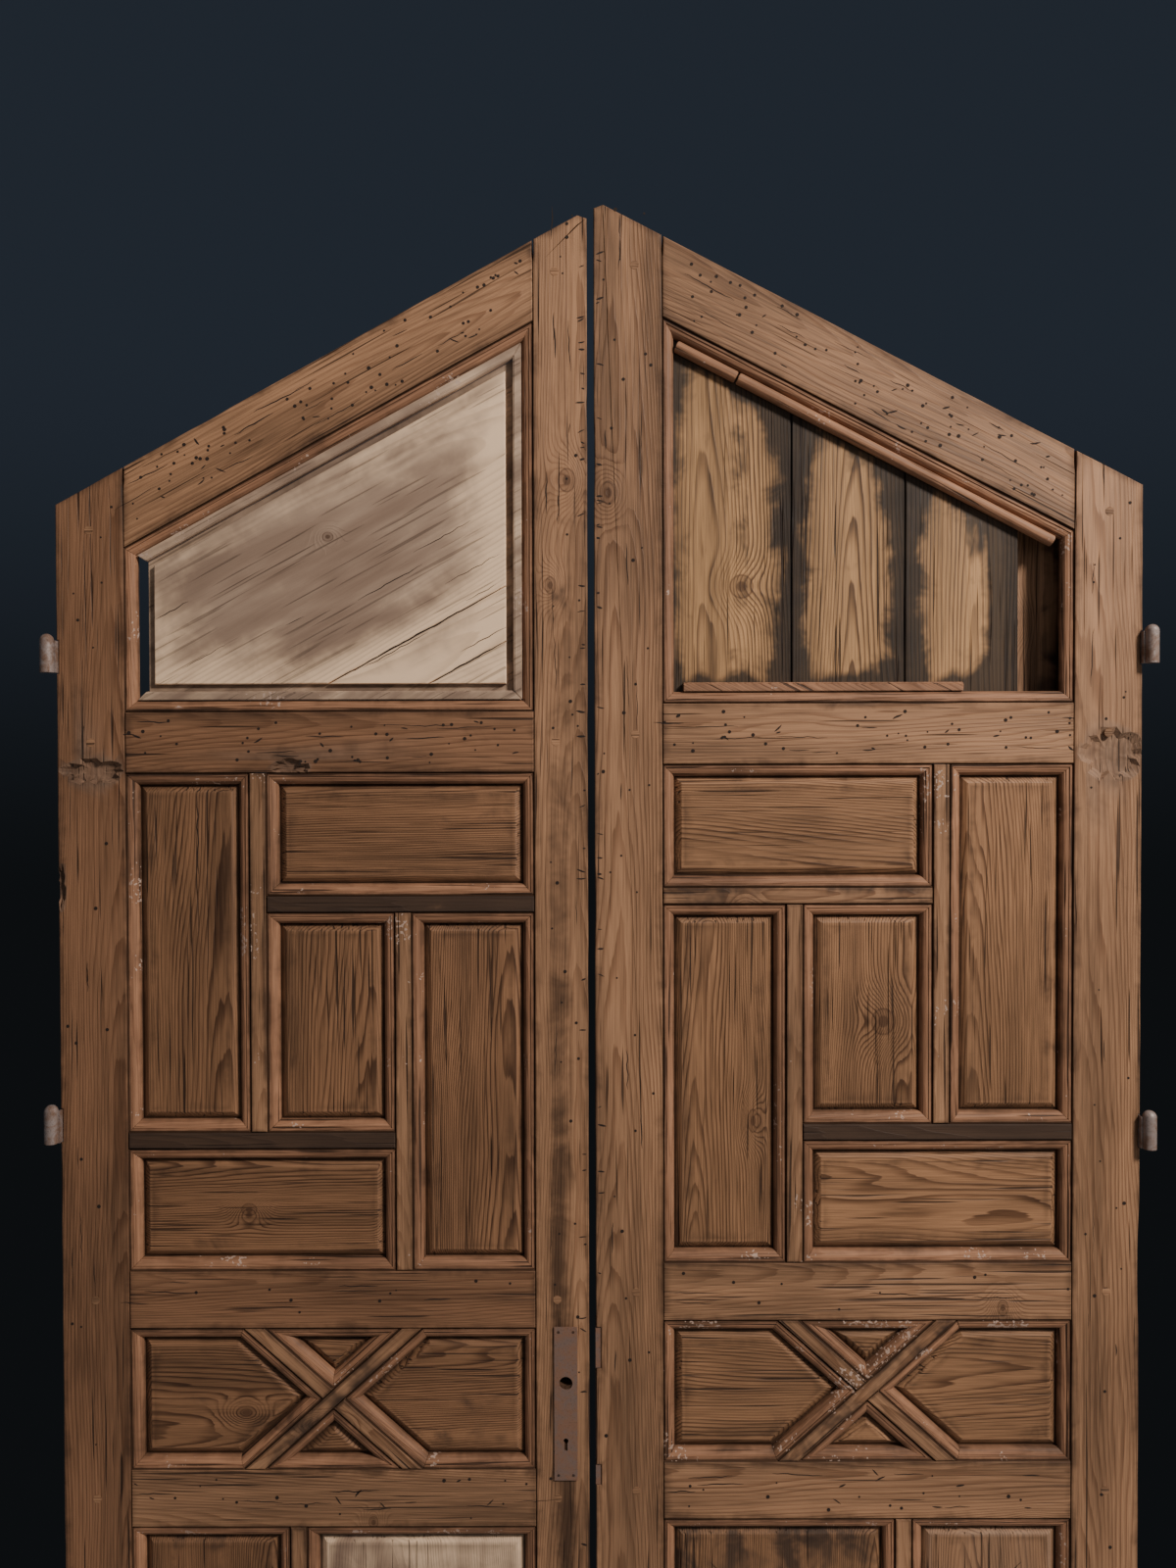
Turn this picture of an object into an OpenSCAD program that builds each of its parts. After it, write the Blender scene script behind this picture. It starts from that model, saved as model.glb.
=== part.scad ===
// Pair of framed and panelled pine door leaves with a gabled head, hung on lift-off hinges.
// Millimetres. +Z is up, the front faces -Y and +X is to the right.
// The origin is at floor level, midway between the two hinge knuckle rows, at mid thickness.
// Each leaf is drawn in its own upright plane: u runs from its hinge edge to its meeting edge,
// z runs up, and the right leaf is the mirror of that plane. Depths are world Y.

/* [Leaves] */
// Width of the left leaf
left_leaf_w = 637; // [560:1:780]
// Width of the right leaf
right_leaf_w = 656; // [560:1:800]
// Gap between the meeting edges
leaf_gap = 7; // [6:0.5:12]
// Thickness of stiles and rails
leaf_t = 45; // [40:1:60]
// Width of the stiles that carry the hinges
hinge_stile_w = 82; // [70:1:110]
// Width of the left leaf's meeting stile
left_meeting_w = 65; // [60:1:110]
// Width of the right leaf's meeting stile
right_meeting_w = 82; // [60:1:110]
// How much higher the right leaf's rails sit, taken up by its bottom rail
right_rail_lift = 9; // [0:1:20]

/* [Rails and blocks, bottom to top] */
// Height of the left leaf's bottom rail
bottom_rail_h = 200; // [150:1:260]
// Height of the lower panel block
lower_block_h = 654; // [450:1:800]
// Height of the rail under the cross block
low_rail_h = 70; // [58:1:100]
// Height of the cross block
cross_block_h = 172; // [150:1:240]
// Height of the rail over the cross block
high_rail_h = 70; // [58:1:100]
// Height of the pinwheel block
pinwheel_h = 601; // [500:1:760]
// Height of the frieze rail under the head panel
frieze_rail_h = 73; // [58:1:100]

/* [Gabled head] */
// Height of the left head opening at its hinge side
left_head_low_h = 196; // [160:1:260]
// Height of the right head opening at its hinge side
right_head_low_h = 205; // [160:1:260]
// Rake of the left leaf's head
left_rake_deg = 28.7; // [20:0.1:35]
// Rake of the right leaf's head
right_rake_deg = 27.4; // [20:0.1:35]
// Plumb height of the raking rails
raking_rail_h = 97; // [80:1:130]
// Width of the worn-down tip of each meeting stile
peak_clip_w = 12; // [4:1:20]
// Drop of the worn tip at the meeting edge
peak_clip_drop = 5; // [1:1:15]

/* [Panels and mouldings] */
// Width of the bars between panels
muntin_w = 20; // [16:0.5:28]
// Thickness of the bars between panels
muntin_t = 30; // [27:1:38]
// Width of the two narrow upright panels' openings
narrow_w = 148; // [110:1:180]
// Height of the two lying panels' openings
band_h = 148; // [110:1:180]
// Width of the outer opening of the lower block
lower_outer_w = 192; // [140:1:260]
// Width of the planted mouldings
mould_w = 14; // [11:0.5:16]
// Depth from the frame's face to the edge of a panel
panel_sink = 13; // [11:0.5:15]
// Thickness of a panel at its edge
panel_t = 12; // [9:0.5:13]
// How far a panel's field stands forward of its edge
field_h = 6; // [3:0.5:8]
// Width of the bevel round a panel's field
bevel_w = 8; // [5:0.5:9]
// How far a panel's edge enters its groove
tongue = 6; // [4:0.5:7]
// Slack of panels and boards in their grooves
groove_fit = 0.2; // [0.1:0.05:0.4]
// Open seam at mitres and butted boards
seam = 0.1; // [0.05:0.05:0.3]

/* [Cross block] */
// Slope of the crossed bars
cross_deg = 42; // [38:1:48]
// Width of the crossed bars
cross_bar_w = 17; // [15:0.5:22]

/* [Head boards] */
// Width of the lowest whole board of the left head
left_board_w = 58; // [45:1:90]
// Width of the corner piece below it, measured along the bottom
left_corner_w = 188; // [140:1:230]
// Width of the right head's first board
first_board_w = 156; // [130:1:180]
// Width of its other boards
head_board_w = 137; // [110:1:145]
// Number of boards left in the right head
head_boards = 3; // [2:1:3]
// Width of the beads round the head boards
bead_w = 11; // [8:0.5:14]
// Length that is left of the right head's bottom bead
bead_left_l = 347; // [200:1:440]
// Distance from the meeting stile to the break in the roll bead
roll_break = 88; // [60:1:140]
// Width of the board nailed behind the right head's open slot
rear_board_w = 110; // [90:1:130]
// Height of that board
rear_board_h = 262; // [200:1:270]
// Thickness of that board
rear_board_t = 15; // [10:0.5:20]

/* [Joinery] */
// Thickness of the tenons
tenon_t = 14; // [12:1:18]
// Wood left beyond a tenon's end
tenon_stop = 20; // [16:1:26]
// Shoulder of a tenon above and below
tenon_shoulder = 10; // [8:1:14]
// Slack round a tenon
tenon_fit = 0.15; // [0.1:0.05:0.3]
// Radius of the pegs
peg_r = 5; // [4:0.5:6]
// Slack round a peg
peg_fit = 0.05; // [0.02:0.01:0.1]

/* [Hinges] */
// Radius of the knuckles
knuckle_r = 8; // [7:0.25:10]
// Straight height of a knuckle below its dome
knuckle_h = 38; // [34:1:60]
// How far the knuckle axis stands outside the hinge edge and before the front face
knuckle_off = 7; // [6:0.25:8]
// Radius of the hinge pins
pin_r = 4.5; // [4:0.1:5]
// Radial clearance of a pin in its knuckle
pin_fit = 0.05; // [0.02:0.01:0.1]
// Length of a pin
pin_l = 32; // [24:1:40]
// Thickness of the hinge blades
blade_t = 3; // [2:0.25:3.5]
// How far a blade reaches over the stile's edge
blade_d = 36; // [28:1:42]
// Number of hinges on each leaf
hinges = 4; // [3:1:4]
// Height of the left leaf's top knuckle
left_hinge_top = 1887; // [1850:1:1900]
// Spacing of the left leaf's hinges
left_hinge_pitch = 563; // [500:1:590]
// Height of the right leaf's top knuckle
right_hinge_top = 1895; // [1850:1:1900]
// Spacing of the right leaf's hinges
right_hinge_pitch = 580; // [500:1:600]
// Radius of the hinge screws' shanks
screw_r = 2; // [1.5:0.25:2.5]
// Length of the hinge screws
screw_l = 30; // [20:1:40]

/* [Lock] */
// Distance from the meeting edge to the spindle's centre line
backset = 29; // [27:0.5:31]
// Height of the spindle
spindle_z = 1030; // [1010:1:1040]
// Distance from the spindle down to the keyhole's centre
key_drop = 75; // [70:1:80]
// Width of the lock plates
plate_w = 28; // [26:1:32]
// Height of the lock plates
plate_h = 186; // [180:1:200]
// Thickness of the lock plates
plate_t = 2; // [1.5:0.25:3]
// Radius of the plates' spindle hole
spindle_hole_r = 8; // [7:0.25:8.25]
// Height of the lock case
case_h = 150; // [146:1:160]
// Depth of the lock case behind its forend
case_d = 46; // [44:1:48]
// Thickness of the lock case
case_t = 15; // [14:0.5:17]
// Wall of the lock case
case_wall = 1.5; // [1:0.25:2]
// Thickness of the forend and the strike plate
forend_t = 3; // [2:0.25:3]
// Width of the forend and the strike plate
forend_w = 22; // [20:1:26]
// Height of the forend and the strike plate
forend_h = 190; // [180:1:200]
// Radius of the follower
follower_r = 9; // [8.5:0.25:9.5]
// Radial clearance of the follower in the case
follower_fit = 0.05; // [0.02:0.01:0.1]
// Side of the square spindle hole
spindle_sq = 8; // [7:0.5:9]
// Travel of the latch bolt
latch_travel = 12; // [9:0.5:13]
// Travel of the dead bolt
dead_travel = 14; // [9:0.5:15]
// Clearance round the bolts
bolt_fit = 0.4; // [0.3:0.05:0.6]
// Height of the upper piece of the keep's broken lip
upper_lip_h = 48; // [30:1:60]
// Height of the lower piece of that lip
lower_lip_h = 23; // [15:1:40]

/* [Hidden] */
$fn = 48;
LEFT = 0;
RIGHT = 1;
PINE = [0.55, 0.37, 0.22];
PANEL_PINE = [0.50, 0.33, 0.19];
DARK_PINE = [0.24, 0.16, 0.11];
PALE_PINE = [0.66, 0.56, 0.45];
RUST = [0.34, 0.25, 0.22];
IRON = [0.45, 0.42, 0.40];

// Sizes of each leaf
leaf_w = [left_leaf_w, right_leaf_w];
meeting_w = [left_meeting_w, right_meeting_w];
rail_lift = [0, right_rail_lift];
head_low_h = [left_head_low_h, right_head_low_h];
rake = [tan(left_rake_deg), tan(right_rake_deg)];
hinge_top = [left_hinge_top, right_hinge_top];
hinge_pitch = [left_hinge_pitch, right_hinge_pitch];
half_w = (left_leaf_w + leaf_gap + right_leaf_w) / 2;

// Depths, from the front face back
face_y = -leaf_t / 2;
back_y = leaf_t / 2;
panel_y = face_y + panel_sink;
panel_back_y = panel_y + panel_t;
field_y = panel_y - field_h;

// Heights and widths shared by the pieces of a leaf
u_in = hinge_stile_w;
function u_out(s) = leaf_w[s] - meeting_w[s];
function z_lower(s) = bottom_rail_h + rail_lift[s];
function z_low_rail(s) = z_lower(s) + lower_block_h;
function z_cross(s) = z_low_rail(s) + low_rail_h;
function z_high_rail(s) = z_cross(s) + cross_block_h;
function z_pinwheel(s) = z_high_rail(s) + high_rail_h;
function z_frieze(s) = z_pinwheel(s) + pinwheel_h;
function z_head(s) = z_frieze(s) + frieze_rail_h;
// Lower and upper edge of the raking rail over a point u
function z_rake(s, u) = z_head(s) + head_low_h[s] + (u - u_in) * rake[s];
function z_top(s, u) = z_rake(s, u) + raking_rail_h;

// Plane geometry: outlines run anticlockwise as [u, z]
function rect(u0, z0, u1, z1) = [[u0, z0], [u1, z0], [u1, z1], [u0, z1]];
function along(a, b) = (b - a) / norm(b - a);
function inward(d) = [-d[1], d[0]];
function meet(p, d, q, e) = p + d * (cross(q - p, e) / cross(d, e));
function after(p, i) = p[(i + 1) % len(p)];
function before(p, i) = p[(i + len(p) - 1) % len(p)];
// The outline moved inwards by d, or outwards where d is negative
function inset(p, d) = [
    for (i = [0:len(p) - 1])
        let (a = along(before(p, i), p[i]), b = along(p[i], after(p, i)))
        meet(p[i] + d * inward(a), a, p[i] + d * inward(b), b)
];

// Openings of each block
function pinwheel_openings(s) =
    let (a = u_in, b = u_out(s), z0 = z_pinwheel(s), z1 = z_frieze(s), m = muntin_w)
    [
        rect(a, z0 + band_h + m, a + narrow_w, z1),
        rect(a + narrow_w + m, z1 - band_h, b, z1),
        rect(a + narrow_w + m, z0 + band_h + m, b - narrow_w - m, z1 - band_h - m),
        rect(b - narrow_w, z0, b, z1 - band_h - m),
        rect(a, z0, b - narrow_w - m, z0 + band_h)
    ];
function pinwheel_bars(s) =
    let (a = u_in, b = u_out(s), z0 = z_pinwheel(s), z1 = z_frieze(s), m = muntin_w)
    [
        rect(a + narrow_w, z0 + band_h + m, a + narrow_w + m, z1),
        rect(a + narrow_w + m, z1 - band_h - m, b, z1 - band_h),
        rect(b - narrow_w - m, z0, b - narrow_w, z1 - band_h - m),
        rect(a, z0 + band_h, b - narrow_w - m, z0 + band_h + m)
    ];
function lower_openings(s) =
    let (a = u_in, b = u_out(s), z0 = z_lower(s), z1 = z_low_rail(s))
    [
        rect(a, z0, a + lower_outer_w, z1),
        rect(a + lower_outer_w + muntin_w, z0, b, z1)
    ];
function lower_bar(s) =
    rect(u_in + lower_outer_w, z_lower(s), u_in + lower_outer_w + muntin_w, z_low_rail(s));
function head_opening(s) = [
    [u_in, z_head(s)], [u_out(s), z_head(s)],
    [u_out(s), z_rake(s, u_out(s))], [u_in, z_rake(s, u_in)]
];
// The crossed bars: half run of a bar's centre line and half width of a bar, both level
cross_run = cross_block_h / 2 / tan(cross_deg);
cross_half = cross_bar_w / 2 / sin(cross_deg);
function cross_c(s) = [(u_in + u_out(s)) / 2, z_cross(s) + cross_block_h / 2];
function cross_openings(s) =
    let (
        c = cross_c(s), z0 = z_cross(s), z1 = z_high_rail(s), e = cross_half,
        r = cross_run, tip = cross_half * tan(cross_deg)
    )
    [
        [[u_in, z0], [c[0] - r - e, z0], [c[0] - e, c[1]], [c[0] - r - e, z1], [u_in, z1]],
        [[c[0] + r + e, z0], [u_out(s), z0], [u_out(s), z1], [c[0] + r + e, z1],
            [c[0] + e, c[1]]],
        [[c[0], c[1] + tip], [c[0] + r - e, z1], [c[0] - r + e, z1]],
        [[c[0] - r + e, z0], [c[0] + r - e, z0], [c[0], c[1] - tip]]
    ];
// A crossed bar; lean is 1 where it climbs away from the hinge edge and -1 where it falls
function cross_bar(s, lean) =
    let (c = cross_c(s), r = cross_run * lean, e = cross_half)
    [
        [c[0] - r - e, z_cross(s)], [c[0] - r + e, z_cross(s)],
        [c[0] + r + e, z_high_rail(s)], [c[0] + r - e, z_high_rail(s)]
    ];

// Section of a planted moulding as [depth, inward]: quirk, fillet, ovolo and foot
quirk_w = 1.3;
quirk_d = 4;
fillet_w = 4.5;
ovolo_steps = 6;
foot_h = 1.5;
mould_section = concat(
    [[panel_y, 0], [face_y + quirk_d, 0], [face_y + quirk_d, quirk_w],
        [face_y + 1, quirk_w], [face_y + 1, fillet_w]],
    [
        for (i = [0:ovolo_steps])
            let (t = 90 * i / ovolo_steps, w = mould_w - fillet_w - 1)
            [face_y + 2 + (panel_sink - 2 - foot_h) * (1 - cos(t)), fillet_w + 0.5 + w * sin(t)]
    ],
    [[panel_y, mould_w - 0.5]]
);

// Puts a leaf's own plane in place
module on_leaf(s) {
    if (s == LEFT) translate([-half_w, 0, 0]) children();
    else mirror([1, 0, 0]) translate([-half_w, 0, 0]) children();
}

// An outline of [u, z] between two depths
module slab(p, y0, y1) {
    translate([0, y1, 0]) rotate([90, 0, 0]) linear_extrude(y1 - y0) polygon(p);
}

// A section of [depth, inward] run along the side from a to b, longer by over at both ends
module run(a, b, section, over = 0) {
    d = along(a, b);
    start = a - d * over;
    translate([start[0], 0, start[1]])
        rotate([0, -atan2(d[1], d[0]), 0])
            rotate([90, 0, 90])
                linear_extrude(norm(b - a) + 2 * over) polygon(section);
}

// A level round hole or rod along Y
module rod(u, z, r, y0, y1) {
    translate([u, y1, z]) rotate([90, 0, 0]) cylinder(r = r, h = y1 - y0);
}

// Groove for the panel of one opening
module groove(p) {
    slab(inset(p, -tongue), panel_y - groove_fit, panel_back_y + groove_fit);
}

module grooves(list) {
    for (p = list) groove(p);
}

// Planted moulding mitred round an opening, one solid for each side
module mitred(p, width, section, sides) {
    inner = inset(p, width);
    for (i = is_undef(sides) ? [for (k = [0:len(p) - 1]) k] : sides) {
        j = (i + 1) % len(p);
        intersection() {
            run(p[i], p[j], section);
            slab(inset([p[i], p[j], inner[j], inner[i]], seam), face_y, panel_y);
        }
    }
}

module mouldings(list) {
    for (p = list) mitred(p, mould_w, mould_section);
}

// Fielded panel of one opening: edge in the groove, field raised within a bevel that starts
// at the given margin from the opening's edge
module fielded(p, margin = mould_w + groove_fit) {
    foot = inset(p, margin);
    slope = bevel_w / field_h;
    slab(inset(p, groove_fit - tongue), panel_y, panel_back_y);
    difference() {
        slab(foot, field_y, panel_y + 1);
        for (i = [0:len(foot) - 1])
            run(foot[i], after(foot, i), [
                [panel_y, 0], [field_y - 1, bevel_w + slope], [field_y - 1, -1], [panel_y, -1]
            ], bevel_w);
    }
}

// Rails: where each one sits and how tall it is, bottom to top
function rail_spans(s) = [
    [0, z_lower(s)],
    [z_low_rail(s), z_cross(s)],
    [z_high_rail(s), z_pinwheel(s)],
    [z_frieze(s), z_head(s)]
];
function tenon_l(w) = w - tenon_stop;
// Tenons of one rail span, at the hinge side and at the meeting side; slack widens a mortise
function tenon_pair(s, span, slack = 0) = [
    rect(u_in - tenon_l(hinge_stile_w) - slack, span[0] + tenon_shoulder - slack,
        u_in + 1, span[1] - tenon_shoulder + slack),
    rect(u_out(s) - 1, span[0] + tenon_shoulder - slack,
        u_out(s) + tenon_l(meeting_w[s]) + slack, span[1] - tenon_shoulder + slack)
];
function raking_tenon(s, u0, u1, slack = 0) = [
    [u0, z_rake(s, u0) + tenon_shoulder - slack], [u1, z_rake(s, u1) + tenon_shoulder - slack],
    [u1, z_top(s, u1) - 2 * tenon_shoulder + slack],
    [u0, z_top(s, u0) - 2 * tenon_shoulder + slack]
];
function raking_tenons(s, slack = 0) = [
    raking_tenon(s, u_in - tenon_l(hinge_stile_w) - slack, u_in + 1, slack),
    raking_tenon(s, u_out(s) - 1, u_out(s) + tenon_l(meeting_w[s]) + slack, slack)
];

module tenons(list, slack = 0) {
    for (p = list) slab(p, -tenon_t / 2 - slack, tenon_t / 2 + slack);
}

module mortises(s) {
    for (span = rail_spans(s)) tenons(tenon_pair(s, span, tenon_fit), tenon_fit);
    tenons(raking_tenons(s, tenon_fit), tenon_fit);
}

// Peg centres: one through every tenon, two through each tall bottom tenon
peg_in = hinge_stile_w / 2;
function peg_out(s) = leaf_w[s] - meeting_w[s] * 0.6;
function peg_heights(s) = [
    z_lower(s) * 0.3, z_lower(s) * 0.7,
    (z_low_rail(s) + z_cross(s)) / 2, (z_high_rail(s) + z_pinwheel(s)) / 2,
    (z_frieze(s) + z_head(s)) / 2
];
function peg_centres(s) = concat(
    [for (z = peg_heights(s), u = [peg_in, peg_out(s)]) [u, z]],
    [for (u = [peg_in, peg_out(s)]) [u, z_rake(s, u) + raking_rail_h * 0.45]]
);

module pegs(s, slack = 0) {
    for (c = peg_centres(s)) rod(c[0], c[1], peg_r + slack, face_y - slack, back_y + slack);
}

// Lift-off hinge halves: an upper knuckle open below, with its blade let into the edge
function hinge_z(s) = [for (i = [0:hinges - 1]) hinge_top[s] - i * hinge_pitch[s]];
screw_rows = [0.28, 0.72];
screw_y = face_y + blade_d * 0.55;
screw_head_r = 2 * screw_r;

module blade(z, slack = 0) {
    translate([-slack, face_y - knuckle_off - slack, z - slack])
        cube([blade_t + slack, blade_d + knuckle_off + 2 * slack, knuckle_h + 2 * slack]);
}

module hinge_screw(z, slack = 0) {
    translate([-slack, screw_y, z]) rotate([0, 90, 0]) {
        cylinder(r = screw_r + slack, h = screw_l + 2 * slack);
        cylinder(r1 = screw_head_r + slack, r2 = screw_r + slack, h = screw_head_r - screw_r);
    }
}

module hinge_screws(s, slack = 0) {
    for (z = hinge_z(s), k = screw_rows) hinge_screw(z + knuckle_h * k, slack);
}

module hinge_halves(s) {
    for (z = hinge_z(s)) difference() {
        union() {
            translate([-knuckle_off, face_y - knuckle_off, z]) {
                cylinder(r = knuckle_r, h = knuckle_h);
                translate([0, 0, knuckle_h]) intersection() {
                    sphere(r = knuckle_r);
                    cylinder(r = knuckle_r, h = knuckle_r);
                }
            }
            blade(z);
        }
        translate([-knuckle_off, face_y - knuckle_off, z - 1])
            cylinder(r = pin_r + pin_fit, h = pin_l + 3);
        for (k = screw_rows) hinge_screw(z + knuckle_h * k, groove_fit);
    }
}

module hinge_pins() {
    color(IRON) for (s = [LEFT, RIGHT], z = hinge_z(s))
        on_leaf(s) translate([-knuckle_off, face_y - knuckle_off, z])
            cylinder(r = pin_r, h = pin_l);
}

// Stiles
module hinge_stile(s) {
    difference() {
        slab([[0, 0], [u_in, 0], [u_in, z_top(s, u_in)], [0, z_top(s, 0)]], face_y, back_y);
        grooves(pinwheel_openings(s));
        grooves(lower_openings(s));
        grooves(cross_openings(s));
        groove(head_opening(s));
        mortises(s);
        pegs(s, peg_fit);
        for (z = hinge_z(s)) blade(z, groove_fit);
        hinge_screws(s, groove_fit);
        stub_tenons(s, groove_fit);
        if (s == RIGHT) rear_nails(groove_fit);
    }
}

module meeting_stile(s) {
    w = leaf_w[s];
    tip = w - peak_clip_w;
    difference() {
        slab([
            [u_out(s), 0], [w, 0], [w, z_top(s, tip) - peak_clip_drop],
            [tip, z_top(s, tip)], [u_out(s), z_top(s, u_out(s))]
        ], face_y, back_y);
        grooves(pinwheel_openings(s));
        grooves(lower_openings(s));
        grooves(cross_openings(s));
        groove(head_opening(s));
        mortises(s);
        pegs(s, peg_fit);
        stub_tenons(s, groove_fit);
        if (s == LEFT) lock_mortise();
        if (s == RIGHT) strike_pocket();
    }
}

// Rails
module rail(s, k) {
    span = rail_spans(s)[k];
    difference() {
        union() {
            slab(rect(u_in, span[0], u_out(s), span[1]), face_y, back_y);
            tenons(tenon_pair(s, span));
        }
        grooves(pinwheel_openings(s));
        grooves(lower_openings(s));
        grooves(cross_openings(s));
        groove(head_opening(s));
        pegs(s, peg_fit);
        hinge_screws(s, groove_fit);
        stub_tenons(s, groove_fit);
    }
}

module raking_rail(s) {
    difference() {
        union() {
            slab([
                [u_in, z_rake(s, u_in)], [u_out(s), z_rake(s, u_out(s))],
                [u_out(s), z_top(s, u_out(s))], [u_in, z_top(s, u_in)]
            ], face_y, back_y);
            tenons(raking_tenons(s));
        }
        groove(head_opening(s));
        pegs(s, peg_fit);
    }
}

// Bars between panels, each with stub tenons that fill the grooves it ends in
stub_w = muntin_w - 2 * tongue - 1;
function stub(p) =
    let (upright = p[2][1] - p[0][1] > p[1][0] - p[0][0], c = (p[0] + p[2]) / 2, h = stub_w / 2)
    upright ? rect(c[0] - h, p[0][1] - tongue, c[0] + h, p[2][1] + tongue)
            : rect(p[0][0] - tongue, c[1] - h, p[1][0] + tongue, c[1] + h);

module stub_tenons(s, slack = 0) {
    for (p = concat(pinwheel_bars(s), [lower_bar(s)]))
        slab(inset(stub(p), -slack), panel_y - slack, panel_back_y + slack);
}

module muntin(s, p) {
    others = [for (q = concat(pinwheel_bars(s), [lower_bar(s)])) if (q != p) stub(q)];
    difference() {
        union() {
            slab(inset(p, seam), face_y, face_y + muntin_t);
            slab(stub(p), panel_y, panel_back_y);
        }
        grooves(pinwheel_openings(s));
        grooves(lower_openings(s));
        for (q = others)
            slab(inset(q, -groove_fit), panel_y - groove_fit, panel_back_y + groove_fit);
    }
}

module muntins(s) {
    for (p = concat(pinwheel_bars(s), [lower_bar(s)])) muntin(s, p);
}

module cross_bars(s) {
    over = s == LEFT ? 1 : -1;
    difference() {
        slab(cross_bar(s, over), face_y, face_y + muntin_t);
        grooves(cross_openings(s));
    }
    difference() {
        slab(cross_bar(s, -over), face_y, face_y + muntin_t);
        slab(inset(cross_bar(s, over), -seam), face_y - 1, face_y + muntin_t + 1);
        grooves(cross_openings(s));
    }
}

// Panels
module panels(list) {
    for (p = list) fielded(p);
}

// The lower panels are each two boards, mitred down from a top corner
module lower_panels(s) {
    ops = lower_openings(s);
    for (k = [0, 1]) {
        p = ops[k];
        w = p[1][0] - p[0][0];
        z1 = p[2][1];
        corner = k == 0 ? p[3] : p[2];
        far = k == 0 ? p[2] : p[3];
        way = k == 0 ? 1 : -1;
        cut = [
            corner + way * [-2 * tongue, 0] + [0, 2 * tongue],
            far + way * [2 * tongue, 0] + [0, -w - 2 * tongue],
            far + way * [2 * tongue, 0] + [0, 2 * tongue]
        ];
        intersection() {
            fielded(p);
            slab(cut, face_y, back_y);
        }
        difference() {
            fielded(p);
            translate([0, 0, -2 * seam]) slab(cut, face_y - 1, back_y + 1);
        }
    }
}

// Left head: a fielded panel of boards laid on the rake. Right head: upright boards, the
// last of them lost
module left_head_boards() {
    d = along([0, 0], [1, rake[LEFT]]);
    base = [u_out(LEFT) - left_corner_w, z_head(LEFT)];
    far = 2 * leaf_w[LEFT];
    spans = [[-far, -seam], [seam, left_board_w - seam], [left_board_w + seam, far]];
    for (k = spans) {
        low = base + inward(d) * k[0];
        high = base + inward(d) * k[1];
        intersection() {
            fielded(head_opening(LEFT), mould_w + bead_w + 2 * groove_fit);
            slab([low - far * d, low + far * d, high + far * d, high - far * d],
                face_y, back_y);
        }
    }
}

module right_head_boards() {
    p = inset(head_opening(RIGHT), groove_fit - tongue);
    u1 = p[1][0];
    edges = concat([u1 + 1], [for (i = [0:head_boards - 1])
        u_out(RIGHT) - first_board_w - i * head_board_w]);
    for (i = [0:head_boards - 1])
        intersection() {
            slab(p, panel_y, panel_back_y);
            slab(rect(edges[i + 1] + groove_fit, 0, edges[i], z_top(RIGHT, leaf_w[RIGHT])),
                panel_y - 1, panel_back_y + 1);
        }
}

// Beads that hold the head boards
bead_t = 9;
bead_section = [
    [panel_y, 0], [panel_y - bead_t, 0], [panel_y - bead_t, bead_w - 2],
    [panel_y - bead_t + 2, bead_w], [panel_y, bead_w]
];
roll_r = 7;
roll_rise = 4.5;
roll_deg = asin(roll_rise / roll_r);
roll_section = [
    for (i = [0:12]) let (t = -roll_deg + (180 + 2 * roll_deg) * i / 12)
        [min(panel_y, panel_y - roll_rise - roll_r * sin(t)), roll_r - roll_r * cos(t)]
];

// The left head's bead on the hinge side is lost
module left_head_beads() {
    p = inset(head_opening(LEFT), mould_w + groove_fit);
    mitred(p, bead_w, bead_section, [0, 1, 2]);
}

module right_head_beads() {
    p = inset(head_opening(RIGHT), mould_w + groove_fit);
    d = along(p[2], p[3]);
    crack = 2.5;
    run(p[2] + d * roll_r, p[2] + d * roll_break, roll_section);
    run(p[2] + d * (roll_break + crack), p[3] - d * roll_r, roll_section);
    run(p[1] - [bead_left_l, 0], p[1] - [bead_w, 0], bead_section);
}

// Board nailed on the back over the slot that the lost board left
rear_board_u = hinge_stile_w - 22;
rear_board_z = z_head(RIGHT) - 22;
rear_nail_r = 1.6;
rear_nail_l = 32;

module rear_nails(slack = 0) {
    for (z = [20, rear_board_h - 40])
        rod(rear_board_u + 11, rear_board_z + z, rear_nail_r + slack,
            back_y + rear_board_t - rear_nail_l - slack, back_y + rear_board_t + slack);
}

module rear_board() {
    color(DARK_PINE) on_leaf(RIGHT) difference() {
        slab(rect(rear_board_u, rear_board_z, rear_board_u + rear_board_w,
            rear_board_z + rear_board_h), back_y, back_y + rear_board_t);
        rear_nails(groove_fit);
    }
}

module rear_board_nails() {
    color(IRON) on_leaf(RIGHT) rear_nails();
}

// Lock. Its own plane: v runs in from the left leaf's meeting edge.
module on_lock() {
    translate([-half_w + left_leaf_w, 0, 0]) mirror([1, 0, 0]) children();
}

key_z = spindle_z - key_drop;
plate_z = spindle_z - 118;
case_z = spindle_z - 104;
forend_z = case_z - (forend_h - case_h) / 2;
key_round_r = 3;
key_slot_w = 3.6;
key_slot_h = 12;
horn_l = 20;
horn_w = 4;
horn_deg = 20;
horn_gap = 1;
bar_h = 5;
lug_v = backset + horn_l * sin(horn_deg) + horn_w / 2 / cos(horn_deg) + horn_gap;
latch_head = [latch_travel + 6, 9, 14];
latch_z = spindle_z + horn_l + 1;
dead_head = [dead_travel + 10, 8, 24];
dead_z = key_z + 10;
nail_r = 1.5;
nail_l = 12;

module key_cut(y0, y1, slack = 0) {
    rod(backset, key_z + 5, key_round_r + slack, y0, y1);
    slab(rect(backset - key_slot_w / 2 - slack, key_z + 5 - key_slot_h - slack,
        backset + key_slot_w / 2 + slack, key_z + 5), y0, y1);
}

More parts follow.
